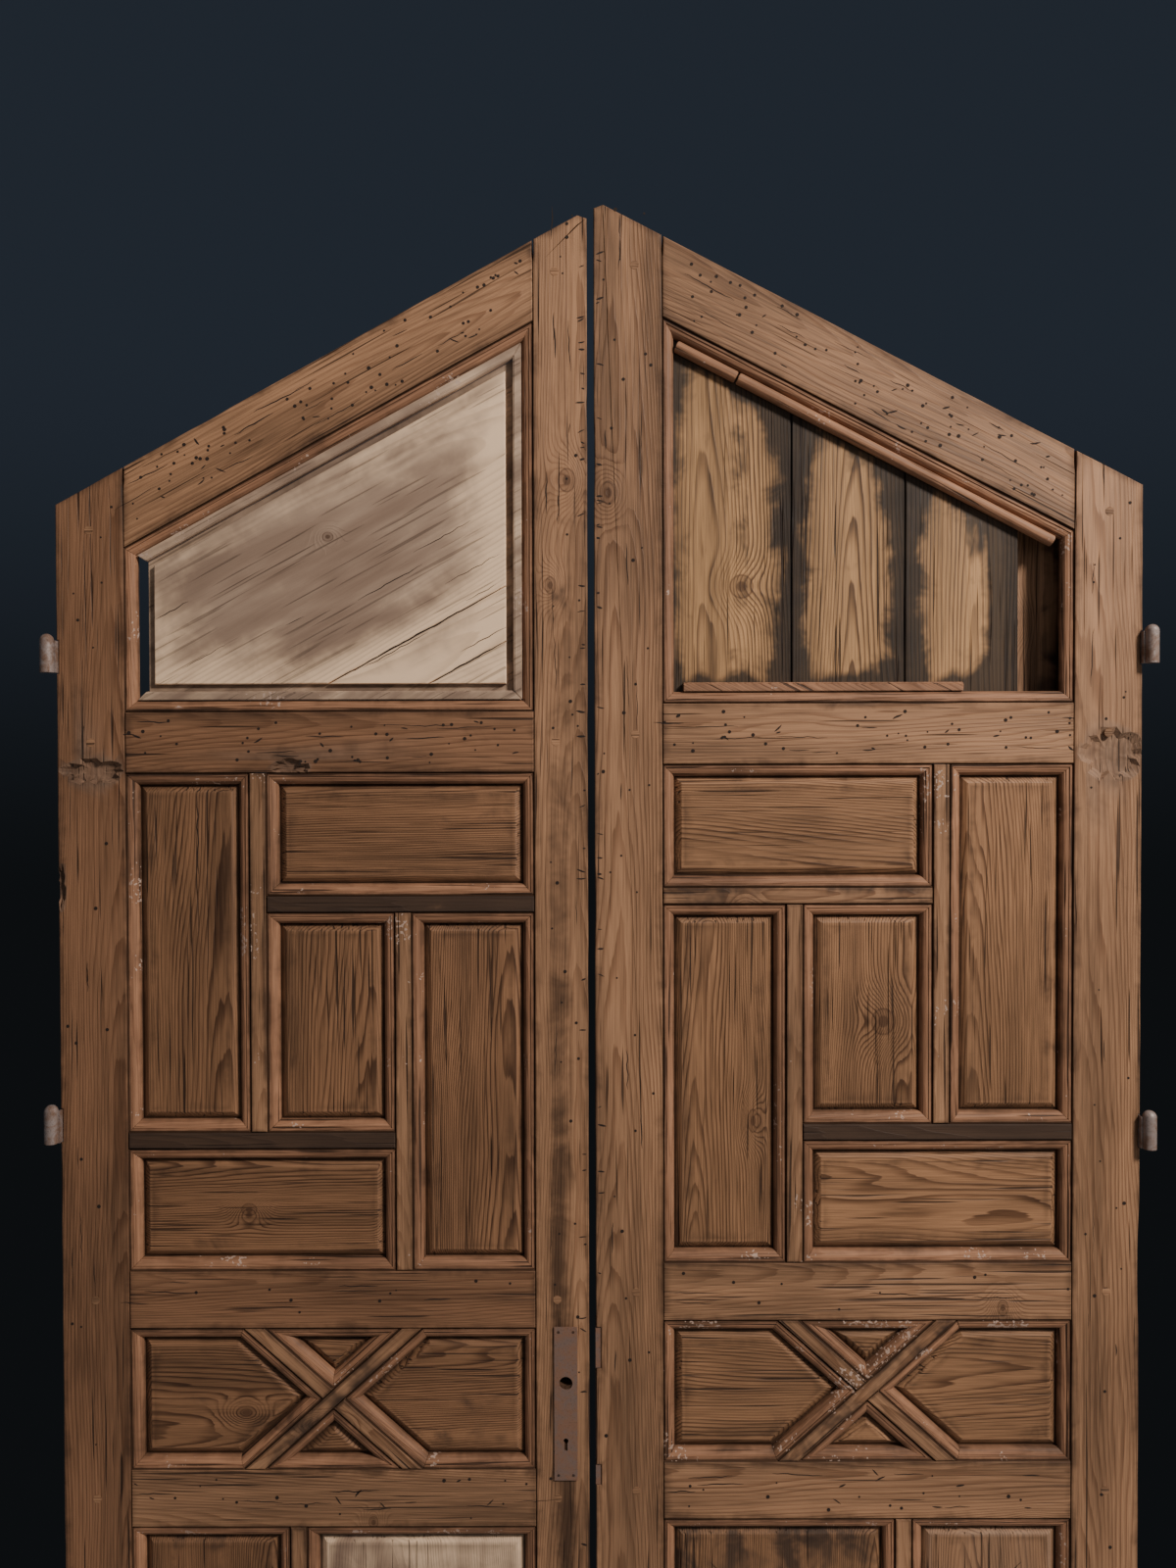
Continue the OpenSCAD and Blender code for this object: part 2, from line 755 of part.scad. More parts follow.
module lock_mortise() {
    translate([leaf_w[LEFT], 0, 0]) mirror([1, 0, 0]) {
        slab(rect(-1, case_z - groove_fit, forend_t + case_d + groove_fit,
            case_z + case_h + groove_fit), -case_t / 2 - groove_fit, case_t / 2 + groove_fit);
        slab(rect(-1, forend_z - groove_fit, forend_t, forend_z + forend_h + groove_fit),
            -forend_w / 2 - groove_fit, forend_w / 2 + groove_fit);
        rod(backset, spindle_z, follower_r + 1, face_y - 1, back_y + 1);
        key_cut(face_y - 1, back_y + 1, 1);
        plate_nails(groove_fit);
        forend_screw_set(groove_fit);
    }
}

nail_spots = [[-9, 6], [9, 6], [-9, plate_h - 6], [9, plate_h - 6]];

module plate_nails(slack = 0) {
    for (p = nail_spots) {
        rod(backset + p[0], plate_z + p[1], nail_r + slack,
            face_y - plate_t - slack, face_y - plate_t + nail_l + slack);
        rod(backset + p[0], plate_z + p[1], nail_r + slack,
            back_y + plate_t - nail_l - slack, back_y + plate_t + slack);
    }
}

module plate(y0, y1) {
    difference() {
        slab(rect(backset - plate_w / 2, plate_z, backset + plate_w / 2, plate_z + plate_h),
            y0, y1);
        rod(backset, spindle_z, spindle_hole_r, y0 - 1, y1 + 1);
        key_cut(y0 - 1, y1 + 1);
        plate_nails(groove_fit);
    }
}

module lock_plate() {
    color(RUST) on_lock() plate(face_y - plate_t, face_y);
}

module rear_lock_plate() {
    color(RUST) on_lock() plate(back_y, back_y + plate_t);
}

module lock_plate_nails() {
    color(RUST) on_lock() plate_nails();
}

// Case: a tray that carries the works, and a cover over its front
module lock_case() {
    y0 = -case_t / 2 + case_wall;
    color(RUST) on_lock() difference() {
        slab(rect(forend_t, case_z, forend_t + case_d, case_z + case_h), y0, case_t / 2);
        slab(rect(forend_t + case_wall, case_z + case_wall, forend_t + case_d - case_wall,
            case_z + case_h - case_wall), y0 - 1, case_t / 2 - case_wall);
        rod(backset, spindle_z, follower_r + follower_fit, 0, case_t);
        key_cut(0, case_t);
        bolt_windows(forend_t - 1, forend_t + case_wall + 1);
    }
}

module lock_case_cover() {
    color(RUST) on_lock() difference() {
        slab(rect(forend_t, case_z, forend_t + case_d, case_z + case_h),
            -case_t / 2, -case_t / 2 + case_wall);
        rod(backset, spindle_z, follower_r + follower_fit, -case_t, 0);
        key_cut(-case_t, 0);
    }
}

module bolt_windows(v0, v1) {
    slab(rect(v0, latch_z - bolt_fit, v1, latch_z + latch_head[2] + bolt_fit),
        -latch_head[1] / 2 - bolt_fit, latch_head[1] / 2 + bolt_fit);
    slab(rect(v0, dead_z - bolt_fit, v1, dead_z + dead_head[2] + bolt_fit),
        -dead_head[1] / 2 - bolt_fit, dead_head[1] / 2 + bolt_fit);
}

module forend_screw_set(slack = 0) {
    for (z = [forend_z + 9, forend_z + forend_h - 9])
        translate([-slack, 0, z]) rotate([0, 90, 0])
            cylinder(r = screw_r + slack, h = 20 + slack);
}

module forend() {
    color(RUST) on_lock() difference() {
        slab(rect(0, forend_z, forend_t, forend_z + forend_h), -forend_w / 2, forend_w / 2);
        bolt_windows(-1, forend_t + 1);
        forend_screw_set(groove_fit);
    }
}

module forend_screws() {
    color(IRON) on_lock() forend_screw_set();
}

// Works, drawn with both bolts drawn in. The follower's horn holds the latch bolt back.

module latch_bolt() {
    y = latch_head[1] / 2;
    color(IRON) on_lock() {
        slab(rect(0, latch_z, latch_head[0], latch_z + latch_head[2]), -y, y);
        slab(rect(latch_head[0] - 1, latch_z, lug_v + 4, latch_z + bar_h), -y + 2, y - 2);
        slab(rect(lug_v, latch_z - 5, lug_v + 4, latch_z + 1), -y + 2, y - 2);
    }
}

module follower() {
    color(IRON) on_lock() difference() {
        union() {
            rod(backset, spindle_z, follower_r, -case_t / 2, case_t / 2);
            translate([backset, 0, spindle_z]) rotate([0, horn_deg, 0])
                slab(rect(-horn_w / 2, 0, horn_w / 2, horn_l), -2, 2);
        }
        slab(rect(backset - spindle_sq / 2, spindle_z - spindle_sq / 2,
            backset + spindle_sq / 2, spindle_z + spindle_sq / 2), -case_t, case_t);
    }
}

module dead_bolt() {
    color(IRON) on_lock() {
        y = dead_head[1] / 2;
        slab(rect(0, dead_z, dead_head[0], dead_z + dead_head[2]), -y, y);
        slab(rect(dead_head[0] - 1, dead_z + 8, case_d - 1, dead_z + 14), -y + 2, y - 2);
    }
}

// A spent leaf spring over the latch bar, and the lever above the key's path
spring_t = 0.8;

module latch_spring() {
    z1 = case_z + case_h - case_wall;
    color(IRON) on_lock() {
        slab(rect(case_wall + forend_t + 1, z1 - spring_t, forend_t + case_d - 4, z1), -3, 3);
        slab([[forend_t + case_d - 5, z1 - spring_t], [forend_t + case_d - 4, z1 - 12],
            [forend_t + case_d - 3, z1 - 12], [forend_t + case_d - 4, z1 - spring_t]], -3, 3);
    }
}

module lock_lever() {
    z0 = case_z + case_wall;
    color(IRON) on_lock() {
        slab(rect(forend_t + case_wall + 1, z0, forend_t + case_d - 6, z0 + 4), 1, 4);
        rod(forend_t + case_d - 8, z0 + 2, 1.8, 4, case_t / 2 - case_wall);
    }
}

// Keep on the right leaf's meeting edge, its turned lip broken away between two ends
lip_w = 6;
lip_t = 1.5;
pocket_d = max(latch_travel, dead_travel) + 2;
function keep_u() = leaf_w[RIGHT];

module strike_windows(u0, u1, slack) {
    slab(rect(u0, latch_z - slack, u1, latch_z + latch_head[2] + slack),
        -latch_head[1] / 2 - slack, latch_head[1] / 2 + slack);
    slab(rect(u0, dead_z - slack, u1, dead_z + dead_head[2] + slack),
        -dead_head[1] / 2 - slack, dead_head[1] / 2 + slack);
}

module strike_nail_set(slack = 0) {
    for (z = [forend_z + 8, forend_z + forend_h - 8])
        translate([keep_u() - 18 - slack, 0, z]) rotate([0, 90, 0])
            cylinder(r = nail_r + slack, h = 18 + 2 * slack);
}

module keep_plate(slack = 0) {
    slab(rect(keep_u() - forend_t - slack, forend_z - slack, keep_u() + (slack > 0 ? 1 : 0),
        forend_z + forend_h + slack), -forend_w / 2 - slack, forend_w / 2 + slack);
    for (q = [[forend_z + forend_h - upper_lip_h, upper_lip_h], [forend_z, lower_lip_h]])
        slab(rect(keep_u() - forend_t / 2 - slack, q[0] - slack,
            keep_u() + (slack > 0 ? 1 : 0), q[0] + q[1] + slack),
            face_y - (slack > 0 ? 1 : 0), -forend_w / 2 + 1);
    for (q = [[forend_z + forend_h - upper_lip_h, upper_lip_h], [forend_z, lower_lip_h]])
        slab(rect(keep_u() - lip_w - slack, q[0] - slack,
            keep_u() + (slack > 0 ? 1 : 0), q[0] + q[1] + slack),
            face_y - (slack > 0 ? 1 : 0), face_y + lip_t + slack);
}

module strike_pocket() {
    keep_plate(groove_fit);
    strike_windows(keep_u() - pocket_d, keep_u() + 1, 1.5);
    strike_nail_set(groove_fit);
}

module strike_plate() {
    color(RUST) on_leaf(RIGHT) difference() {
        keep_plate();
        strike_windows(keep_u() - pocket_d, keep_u() + 1, 1);
        strike_nail_set(groove_fit);
    }
}

module strike_nails() {
    color(IRON) on_leaf(RIGHT) strike_nail_set();
}

hinge_pins();
color(PINE) on_leaf(LEFT) hinge_stile(LEFT);  // left_hinge_stile
color(PINE) on_leaf(LEFT) meeting_stile(LEFT);  // left_meeting_stile
color(PINE) on_leaf(LEFT) raking_rail(LEFT);  // left_raking_rail
color(PINE) on_leaf(LEFT) rail(LEFT, 3);  // left_frieze_rail
color(PINE) on_leaf(LEFT) rail(LEFT, 2);  // left_high_rail
color(PINE) on_leaf(LEFT) rail(LEFT, 1);  // left_low_rail
color(PINE) on_leaf(LEFT) rail(LEFT, 0);  // left_bottom_rail
color(DARK_PINE) on_leaf(LEFT) muntins(LEFT);  // left_muntins
color(DARK_PINE) on_leaf(LEFT) cross_bars(LEFT);  // left_cross_bars
color(PANEL_PINE) on_leaf(LEFT) panels(pinwheel_openings(LEFT));  // left_pinwheel_panels
color(PANEL_PINE) on_leaf(LEFT) panels(cross_openings(LEFT));  // left_cross_panels
color(PANEL_PINE) on_leaf(LEFT) lower_panels(LEFT);  // left_lower_panels
color(PALE_PINE) on_leaf(LEFT) left_head_boards();
color(PALE_PINE) on_leaf(LEFT) left_head_beads();
color(PINE) on_leaf(LEFT) mouldings(pinwheel_openings(LEFT));  // left_pinwheel_mouldings
color(PINE) on_leaf(LEFT) mouldings(cross_openings(LEFT));  // left_cross_mouldings
color(PINE) on_leaf(LEFT) mouldings(lower_openings(LEFT));  // left_lower_mouldings
color(PINE) on_leaf(LEFT) mouldings([head_opening(LEFT)]);  // left_head_mouldings
color(DARK_PINE) on_leaf(LEFT) pegs(LEFT);  // left_pegs
color(IRON) on_leaf(LEFT) hinge_halves(LEFT);  // left_hinge_halves
color(IRON) on_leaf(LEFT) hinge_screws(LEFT);  // left_hinge_screws
color(PINE) on_leaf(RIGHT) hinge_stile(RIGHT);  // right_hinge_stile
color(PINE) on_leaf(RIGHT) meeting_stile(RIGHT);  // right_meeting_stile
color(PINE) on_leaf(RIGHT) raking_rail(RIGHT);  // right_raking_rail
color(PINE) on_leaf(RIGHT) rail(RIGHT, 3);  // right_frieze_rail
color(PINE) on_leaf(RIGHT) rail(RIGHT, 2);  // right_high_rail
color(PINE) on_leaf(RIGHT) rail(RIGHT, 1);  // right_low_rail
color(PINE) on_leaf(RIGHT) rail(RIGHT, 0);  // right_bottom_rail
color(DARK_PINE) on_leaf(RIGHT) muntins(RIGHT);  // right_muntins
color(DARK_PINE) on_leaf(RIGHT) cross_bars(RIGHT);  // right_cross_bars
color(PANEL_PINE) on_leaf(RIGHT) panels(pinwheel_openings(RIGHT));  // right_pinwheel_panels
color(PANEL_PINE) on_leaf(RIGHT) panels(cross_openings(RIGHT));  // right_cross_panels
color(PANEL_PINE) on_leaf(RIGHT) lower_panels(RIGHT);  // right_lower_panels
color(PALE_PINE) on_leaf(RIGHT) right_head_boards();
color(PINE) on_leaf(RIGHT) right_head_beads();
color(PINE) on_leaf(RIGHT) mouldings(pinwheel_openings(RIGHT));  // right_pinwheel_mouldings
color(PINE) on_leaf(RIGHT) mouldings(cross_openings(RIGHT));  // right_cross_mouldings
color(PINE) on_leaf(RIGHT) mouldings(lower_openings(RIGHT));  // right_lower_mouldings
color(PINE) on_leaf(RIGHT) mouldings([head_opening(RIGHT)]);  // right_head_mouldings
color(DARK_PINE) on_leaf(RIGHT) pegs(RIGHT);  // right_pegs
color(IRON) on_leaf(RIGHT) hinge_halves(RIGHT);  // right_hinge_halves
color(IRON) on_leaf(RIGHT) hinge_screws(RIGHT);  // right_hinge_screws
rear_board();
rear_board_nails();
strike_plate();
strike_nails();
lock_plate();
rear_lock_plate();
lock_plate_nails();
lock_case();
lock_case_cover();
forend();
forend_screws();
latch_bolt();
dead_bolt();
follower();
latch_spring();
lock_lever();
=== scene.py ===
"""Worn pine double door: boards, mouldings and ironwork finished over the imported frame."""

import math
import random

import bmesh
import bpy
from mathutils import Matrix, Vector, noise


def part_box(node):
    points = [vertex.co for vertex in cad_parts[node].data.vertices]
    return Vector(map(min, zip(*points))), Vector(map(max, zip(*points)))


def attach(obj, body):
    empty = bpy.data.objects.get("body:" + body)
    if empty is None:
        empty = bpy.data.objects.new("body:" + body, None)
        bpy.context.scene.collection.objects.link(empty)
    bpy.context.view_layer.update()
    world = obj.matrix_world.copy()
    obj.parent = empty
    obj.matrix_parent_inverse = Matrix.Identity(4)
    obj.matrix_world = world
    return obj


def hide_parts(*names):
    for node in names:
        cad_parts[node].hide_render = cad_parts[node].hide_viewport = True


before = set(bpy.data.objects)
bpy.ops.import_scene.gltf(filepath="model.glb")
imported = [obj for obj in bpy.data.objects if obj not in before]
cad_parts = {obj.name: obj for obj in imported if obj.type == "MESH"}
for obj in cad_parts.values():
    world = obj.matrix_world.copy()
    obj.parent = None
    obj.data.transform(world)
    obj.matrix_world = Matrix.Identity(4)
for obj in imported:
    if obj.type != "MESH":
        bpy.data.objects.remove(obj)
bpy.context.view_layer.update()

# Depths of the joinery, front to back
FACE_Y = -0.0225
FIELD_Y = -0.0155
PANEL_Y = -0.0095
PANEL_BACK_Y = 0.0025
MOULD_W = 0.014
BEVEL_W = 0.008
FIT = 0.0002
HINGE_EDGE_X = 0.650
GAP_X = (-0.0135, -0.0055)
RAKE = {"left": math.radians(28.7), "right": math.radians(27.4)}
RAKE_LINE = {s: Vector((math.cos(a), math.sin(a if s == "left" else -a))) for s, a in RAKE.items()}
UP = Vector((0, 1))
ALONG = Vector((1, 0))
SIDES = ("left", "right")


# ------------ outlines


def solids(node):
    """The separate solids of a CAD node, each as faces of merged points, from left to right."""
    bm = bmesh.new()
    bm.from_mesh(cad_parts[node].data)
    bmesh.ops.remove_doubles(bm, verts=bm.verts, dist=0.00003)
    bm.normal_update()
    unseen, found = set(bm.verts), []
    while unseen:
        stack = [unseen.pop()]
        group = set(stack)
        while stack:
            for edge in stack.pop().link_edges:
                for v in edge.verts:
                    if v not in group:
                        group.add(v)
                        stack.append(v)
        unseen -= group
        found.append(
            {
                "faces": {f for v in group for f in v.link_faces},
                "low": Vector(min(v.co[k] for v in group) for k in range(3)),
                "high": Vector(max(v.co[k] for v in group) for k in range(3)),
            }
        )
    for s in found:
        s["outline"] = front_outline(s)
    bm.free()
    return sorted(found, key=lambda s: (round(s["low"].x, 3), round(s["low"].z, 3)))


def front_outline(solid):
    """Corners of a solid's foremost face as (x, z), anticlockwise."""
    y = solid["low"].y
    front = {
        f
        for f in solid["faces"]
        if f.normal.y < -0.99 and all(abs(v.co.y - y) < 1e-4 for v in f.verts)
    }
    rim = {}
    for f in front:
        for edge in f.edges:
            if sum(g in front for g in edge.link_faces) == 1:
                a, b = edge.verts
                rim.setdefault(a, []).append(b)
                rim.setdefault(b, []).append(a)
    loops, used = [], set()
    for start in rim:
        if start in used:
            continue
        loop, step = [], [start]
        while step:
            loop.append(step[0])
            used.add(step[0])
            step = [v for v in rim[step[0]] if v not in used]
        loops.append([Vector((v.co.x, v.co.z)) for v in loop])
    loop = max(loops, key=lambda p: abs(area(p)))
    if area(loop) < 0:
        loop.reverse()
    return straightened(loop)


def pairs(loop):
    """Each corner of an outline with the next one."""
    return list(zip(loop, loop[1:] + loop[:1]))


def area(loop):
    return 0.5 * sum(a.cross(b) for a, b in pairs(loop))


def straightened(loop):
    """The loop without points that lie on a straight side."""
    kept = list(loop)
    changed = True
    while changed and len(kept) > 3:
        changed = False
        for i in range(len(kept)):
            a, b, c = kept[i - 1], kept[i], kept[(i + 1) % len(kept)]
            if (b - a).length < 2e-4 or abs((b - a).normalized().cross(c - b)) < 5e-5:
                del kept[i]
                changed = True
                break
    return kept


def moved_in(corners, d):
    """An outline moved inwards by d, or outwards by a negative d."""
    return [p + mitre(corners, i) * d for i, p in enumerate(corners)]


def mitre(corners, i):
    """How far corner i moves for each unit that the outline moves inwards."""
    a, b, c = corners[i - 1], corners[i], corners[(i + 1) % len(corners)]
    n = [(q - p).normalized() for p, q in ((a, b), (b, c))]
    n = [Vector((-k.y, k.x)) for k in n]
    return (n[0] + n[1]) / max(0.25, 1 + n[0].dot(n[1]))


def samples(corners, step, sides=None):
    """Points round an outline: place, move for each unit inset, and way in which wear goes."""
    out = []
    count = len(corners)
    for i in range(count) if sides is None else sides:
        j = (i + 1) % count
        a, b = corners[i], corners[j]
        ma, mb = mitre(corners, i), mitre(corners, j)
        d = (b - a).normalized()
        n = Vector((-d.y, d.x))
        k = max(1, round((b - a).length / step))
        last = k + 1 if sides is not None else k
        for t in (m / k for m in range(last)):
            whole = sides is None and t == 0
            out.append((a.lerp(b, t), ma.lerp(mb, t), ma if whole else n))
    return out


# ------------ boards


def linked(name, data):
    o = bpy.data.objects.new(name, data)
    bpy.context.scene.collection.objects.link(o)
    return o


def body_of(name, points, faces):
    mesh = bpy.data.meshes.new(name)
    mesh.from_pydata(points, [], faces)
    return linked(name, mesh)


def applied(o):
    """The mesh of an object with its modifiers carried out."""
    bpy.context.view_layer.update()
    return bpy.data.meshes.new_from_object(o.evaluated_get(bpy.context.evaluated_depsgraph_get()))


def flow(points, direction, seed, pith=None):
    """A board's own grain frame: direction, and where the heart of the tree lies from it."""
    rng = random.Random(seed)
    g = Vector(direction).normalized()
    across = Vector((-g.y, g.x))
    a = [p.dot(across) for p in points]
    width = max(a) - min(a)
    mid = (max(a) + min(a)) / 2
    if pith is None:
        pith = (rng.uniform(-0.6, 0.6) * width, rng.uniform(0.03, 0.12))
    return g, across, rng.uniform(-9, 9), -mid + pith[0], pith[1]


class Joinery:
    """Gathers boards into one mesh, with each point's place in the grain and its finish."""

    def __init__(self, name):
        self.name = name
        self.points, self.faces, self.grain, self.finish = [], [], [], []

    def add(self, points, faces, finish, frame_of_grain):
        g, across, start, aside, heart = frame_of_grain
        base = len(self.points)
        for p, f in zip(points, finish):
            flat = Vector((p[0], p[2]))
            self.points.append(p)
            self.grain.append((flat.dot(g) + start, flat.dot(across) + aside, p[1] + heart))
            self.finish.append(f)
        self.faces.extend(tuple(base + k for k in f) for f in faces)

    def object(self, material, body, nodes, slot, painted_shade=0):
        piece = body_of(self.name, self.points, self.faces)
        mesh = piece.data
        # The last argument raises the stain of every point: painted shade.
        finish = [c for f in self.finish for c in (f[0], f[1], min(1, f[2] + painted_shade), f[3])]
        mesh.attributes.new("grain", "FLOAT_VECTOR", "POINT").data.foreach_set(
            "vector", [c for v in self.grain for c in v]
        )
        mesh.attributes.new("finish", "FLOAT_COLOR", "POINT").data.foreach_set("color", finish)
        mesh.materials.append(material)
        mesh.validate()
        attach(piece, body)
        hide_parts(*nodes)
        return piece


def lofted(rings, around):
    """Faces of a closed body whose points come as rings with the same count, front to back."""
    faces = [tuple(range(around))]
    for r in range(rings - 1):
        for i in range(around):
            j = (i + 1) % around
            a, b = r * around, (r + 1) * around
            faces.append((a + i, b + i, b + j, a + j))
    return faces + [tuple(rings * around - 1 - i for i in range(around))]


def ringed(outline, rings, wear, direction, seed, step=0.009, tint=None, pith=None):
    """A closed board from rings round one outline, front to back, with its grain.

    rings holds (inset, depth, finish, share of the wear). wear(point, run) is the wood lost there.
    tint(point, finish) may change the finish from place to place.
    """
    around = samples(outline, step)
    lost, run, last = [], 0, None
    for p, m, n in around:
        run += (p - last).length if last is not None else 0
        last = p
        lost.append(wear(p, run))
    points, finish = [], []
    for inset, y, f, share in rings:
        for (p, m, n), w in zip(around, lost):
            q = p + m * inset + n * (w * share)
            points.append((q.x, y, q.y))
            finish.append(tint(q, f) if tint else f)
    faces = lofted(len(rings), len(around))
    return points, faces, finish, flow(outline, direction, seed, pith)


def worn(seed, amount, chips=0, wave=26):
    """Wood lost along an edge: an even waver, and bites where chips is above nothing."""
    place = Vector((seed * 3.7, seed * 1.3, 0))

    def wear(p, run):
        at = place + Vector((run * wave, 0, 0))
        soft = 0.5 + 0.5 * noise.noise(at)
        bite = max(0, noise.noise(at * 0.43 + Vector((0, 5, 0))) - 0.3) * 2.2
        rough = 0.5 + 0.5 * noise.noise(at * 3.1)
        return amount * (0.35 + 0.65 * soft) + chips * bite * (0.5 + 0.5 * rough)

    return wear


def plank(solid, direction, seed, wear, marks, edge=0.0012):
    """A flat board with worn arrises. marks is its finish (dirt, bleach, stain, flecks). Its arrises and edge
    faces are darker: painted shade where boards meet, and dirt.
    """
    dirt_and_shade, bleach, stain, flecks = marks
    outline, y0, y1 = solid["outline"], solid["low"].y, solid["high"].y
    # rim and side are darker: painted shade at the arrises and on the edge faces where boards meet, and dirt.
    rim = (min(1, dirt_and_shade + 0.45), bleach, stain, min(1, flecks + 0.08))
    side = (min(1, dirt_and_shade + 0.7), bleach, stain, 0)
    inside = min(0.012, min(side_lengths(outline)) * 0.3)
    rings = [
        (inside, y0, marks, 0.6),
        (edge * 1.2, y0, rim, 1),
        (edge * 0.4, y0 + edge * 0.35, rim, 1),
        (0.00015, y0 + edge, side, 0.9),
        (0.00015, y1 - edge, side, 0.9),
        (edge, y1, rim, 1),
        (inside, y1, marks, 0.6),
    ]
    return ringed(outline, rings, wear, direction, seed)


def side_lengths(corners):
    """Roughly how wide an outline is: its distances from each side to the farthest corner."""
    out = []
    for a, b in pairs(corners):
        d = (b - a).normalized()
        n = Vector((-d.y, d.x))
        out.append(max((c - a).dot(n) for c in corners))
    return out


def bite(board, cutter, raw=(0.5, 0.12, 0.2, 0)):
    """Takes a cutter's shape out of a board, and leaves torn wood on the cut."""
    points, faces, finish, grain_frame = board
    made = [body_of("board", points, faces), body_of("cutter", *cutter)]
    cut = made[0].modifiers.new("cut", "BOOLEAN")
    cut.operation, cut.solver, cut.object = "DIFFERENCE", "EXACT", made[1]
    mesh = applied(made[0])
    known = {tuple(round(c, 5) for c in p): f for p, f in zip(points, finish)}
    new_points = [tuple(v.co) for v in mesh.vertices]
    new_faces = [tuple(f.vertices) for f in mesh.polygons]
    new_finish = [known.get(tuple(round(c, 5) for c in p), raw) for p in new_points]
    for o in made:
        bpy.data.objects.remove(o)
    return new_points, new_faces, new_finish, grain_frame


def splintered(x0, z0, x1, z1, depth, seed):
    """A cutter for a torn patch: ragged ends along the grain, shallow at its rim."""
    rng = random.Random(seed)
    mid = Vector(((x0 + x1) / 2, (z0 + z1) / 2))
    half = Vector(((x1 - x0) / 2, (z1 - z0) / 2))
    count = 26
    points = []
    for share, y in ((1.08, FACE_Y - 0.004), (1, FACE_Y), (0.72, FACE_Y + depth * 0.8),
                     (0.3, FACE_Y + depth)):
        for i in range(count):
            t = 2 * math.pi * i / count
            rag = 1 - 0.4 * ((i * 7919 + seed) % 5) / 4 * (0.5 + 0.5 * rng.random())
            r = share * rag if i % 2 else share * (0.75 + 0.25 * rag)
            points.append((mid.x + half.x * r * math.cos(t), y, mid.y + half.y * r * math.sin(t)))
    return points, lofted(4, count)


def box_cutter(low, high):
    """A plain box that takes out a recess for a plate or a lock."""
    x, y, z = zip(low, high)
    points = [(x[i], y[j], z[k]) for i in (0, 1) for j in (0, 1) for k in (0, 1)]
    faces = [(0, 1, 3, 2), (4, 6, 7, 5), (0, 4, 5, 1), (2, 3, 7, 6), (0, 2, 6, 4), (1, 5, 7, 3)]
    return points, faces


def bore_cutter(x, z, wide, high, y0, y1, sides=24):
    """An upright oval hole bored from the face."""
    turns = [2 * math.pi * k / sides for k in range(sides)]
    points = [(x + wide * math.cos(t), y, z + high * math.sin(t)) for y in (y0, y1) for t in turns]
    return points, lofted(2, sides)


def recess(node, by):
    low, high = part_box(node)
    return box_cutter([c - by for c in low], [c + by for c in high])


# ------------ shading


class Nodes:
    """Short words for laying out a node tree."""

    def __init__(self, tree):
        self.tree = tree

    def put(self, kind, **values):
        node = self.tree.nodes.new(kind)
        for name, value in values.items():
            setattr(node, name, value)
        return node

    def join(self, source, target):
        if isinstance(source, (int, float, tuple, list)):
            target.default_value = source
        else:
            self.tree.links.new(source, target)

    def feed(self, node, *values, **named):
        """Values or links for a node's inputs, in their order or by their names."""
        for value, socket in zip(values, node.inputs):
            self.join(value, socket)
        for label, value in named.items():
            self.join(value, node.inputs[label.replace("_", " ")])
        return node

    def math(self, operation, *values):
        return self.feed(self.put("ShaderNodeMath", operation=operation), *values).outputs[0]

    def times(self, a, b):
        return self.math("MULTIPLY", a, b)

    def plus(self, a, b):
        return self.math("ADD", a, b)

    def less(self, a, b):
        return self.math("SUBTRACT", a, b)

    def vector(self, operation, *values, out=0):
        return self.feed(self.put("ShaderNodeVectorMath", operation=operation), *values).outputs[out]

    def between(self, value, low, high, to_low=0, to_high=1):
        node = self.put("ShaderNodeMapRange", interpolation_type="SMOOTHSTEP")
        return self.feed(node, value, low, high, to_low, to_high).outputs[0]

    def mix(self, share, a, b, blend="MIX"):
        node = self.put("ShaderNodeMix", data_type="RGBA", blend_type=blend)
        self.join(share, node.inputs[0])
        self.join(a, node.inputs[6])
        self.join(b, node.inputs[7])
        return node.outputs[2]

    def noise(self, vector, scale, detail=2, rough=0.5, warp=0, out=0):
        return self.feed(self.put("ShaderNodeTexNoise"), Vector=vector, Scale=scale, Detail=detail,
                         Roughness=rough, Distortion=warp).outputs[out]

    def streaks(self, grain, stretch, detail, rough=0.5, warp=0, out=0):
        """Noise drawn out along the grain."""
        return self.noise(self.vector("MULTIPLY", grain, stretch), 1, detail, rough, warp, out)

    def bump(self, height, strength, distance):
        node = self.put("ShaderNodeBump")
        return self.feed(node, Height=height, Strength=strength, Distance=distance).outputs[0]


def group(name, inputs, outputs, kind="ShaderNodeTree"):
    """An empty node group with named sockets, each (name, kind) and maybe a value."""
    tree = bpy.data.node_groups.new(name, kind)
    for way, sockets in (("INPUT", inputs), ("OUTPUT", outputs)):
        for label, of, *value in sockets:
            s = tree.interface.new_socket(label, in_out=way, socket_type="NodeSocket" + of)
            if value:
                s.default_value = value[0]
    n = Nodes(tree)
    return tree, n, n.put("NodeGroupInput").outputs, n.put("NodeGroupOutput")


def knot_group():
    """A knot: a mound in the ring pattern round one place, longer along the grain."""
    tree, n, i, o = group(
        "knot",
        [("Position", "Vector"), ("Centre", "Vector"), ("Spread", "Vector", (1, 1, 1)),
         ("Mound", "Float", 0), ("Heart", "Float", 0)],
        [("Mound", "Float"), ("Heart", "Float")],
    )
    scaled = n.vector("MULTIPLY", n.vector("SUBTRACT", i["Position"], i["Centre"]), i["Spread"])
    far = n.vector("LENGTH", scaled, out=1)
    bell = n.math("POWER", 2.718, n.times(n.math("POWER", far, 2), -1))
    core = n.between(far, 0.3, 0.16)
    halo = n.times(n.between(far, 0.52, 0.46), n.between(far, 0.38, 0.44))
    heart = n.math("MAXIMUM", core, n.times(halo, 0.8))
    heart = n.math("MAXIMUM", heart, n.between(far, 0.5, 0.4, 0, 0.4))
    n.feed(o, n.plus(i["Mound"], n.times(bell, 0.022)), n.math("MAXIMUM", i["Heart"], heart))
    return tree


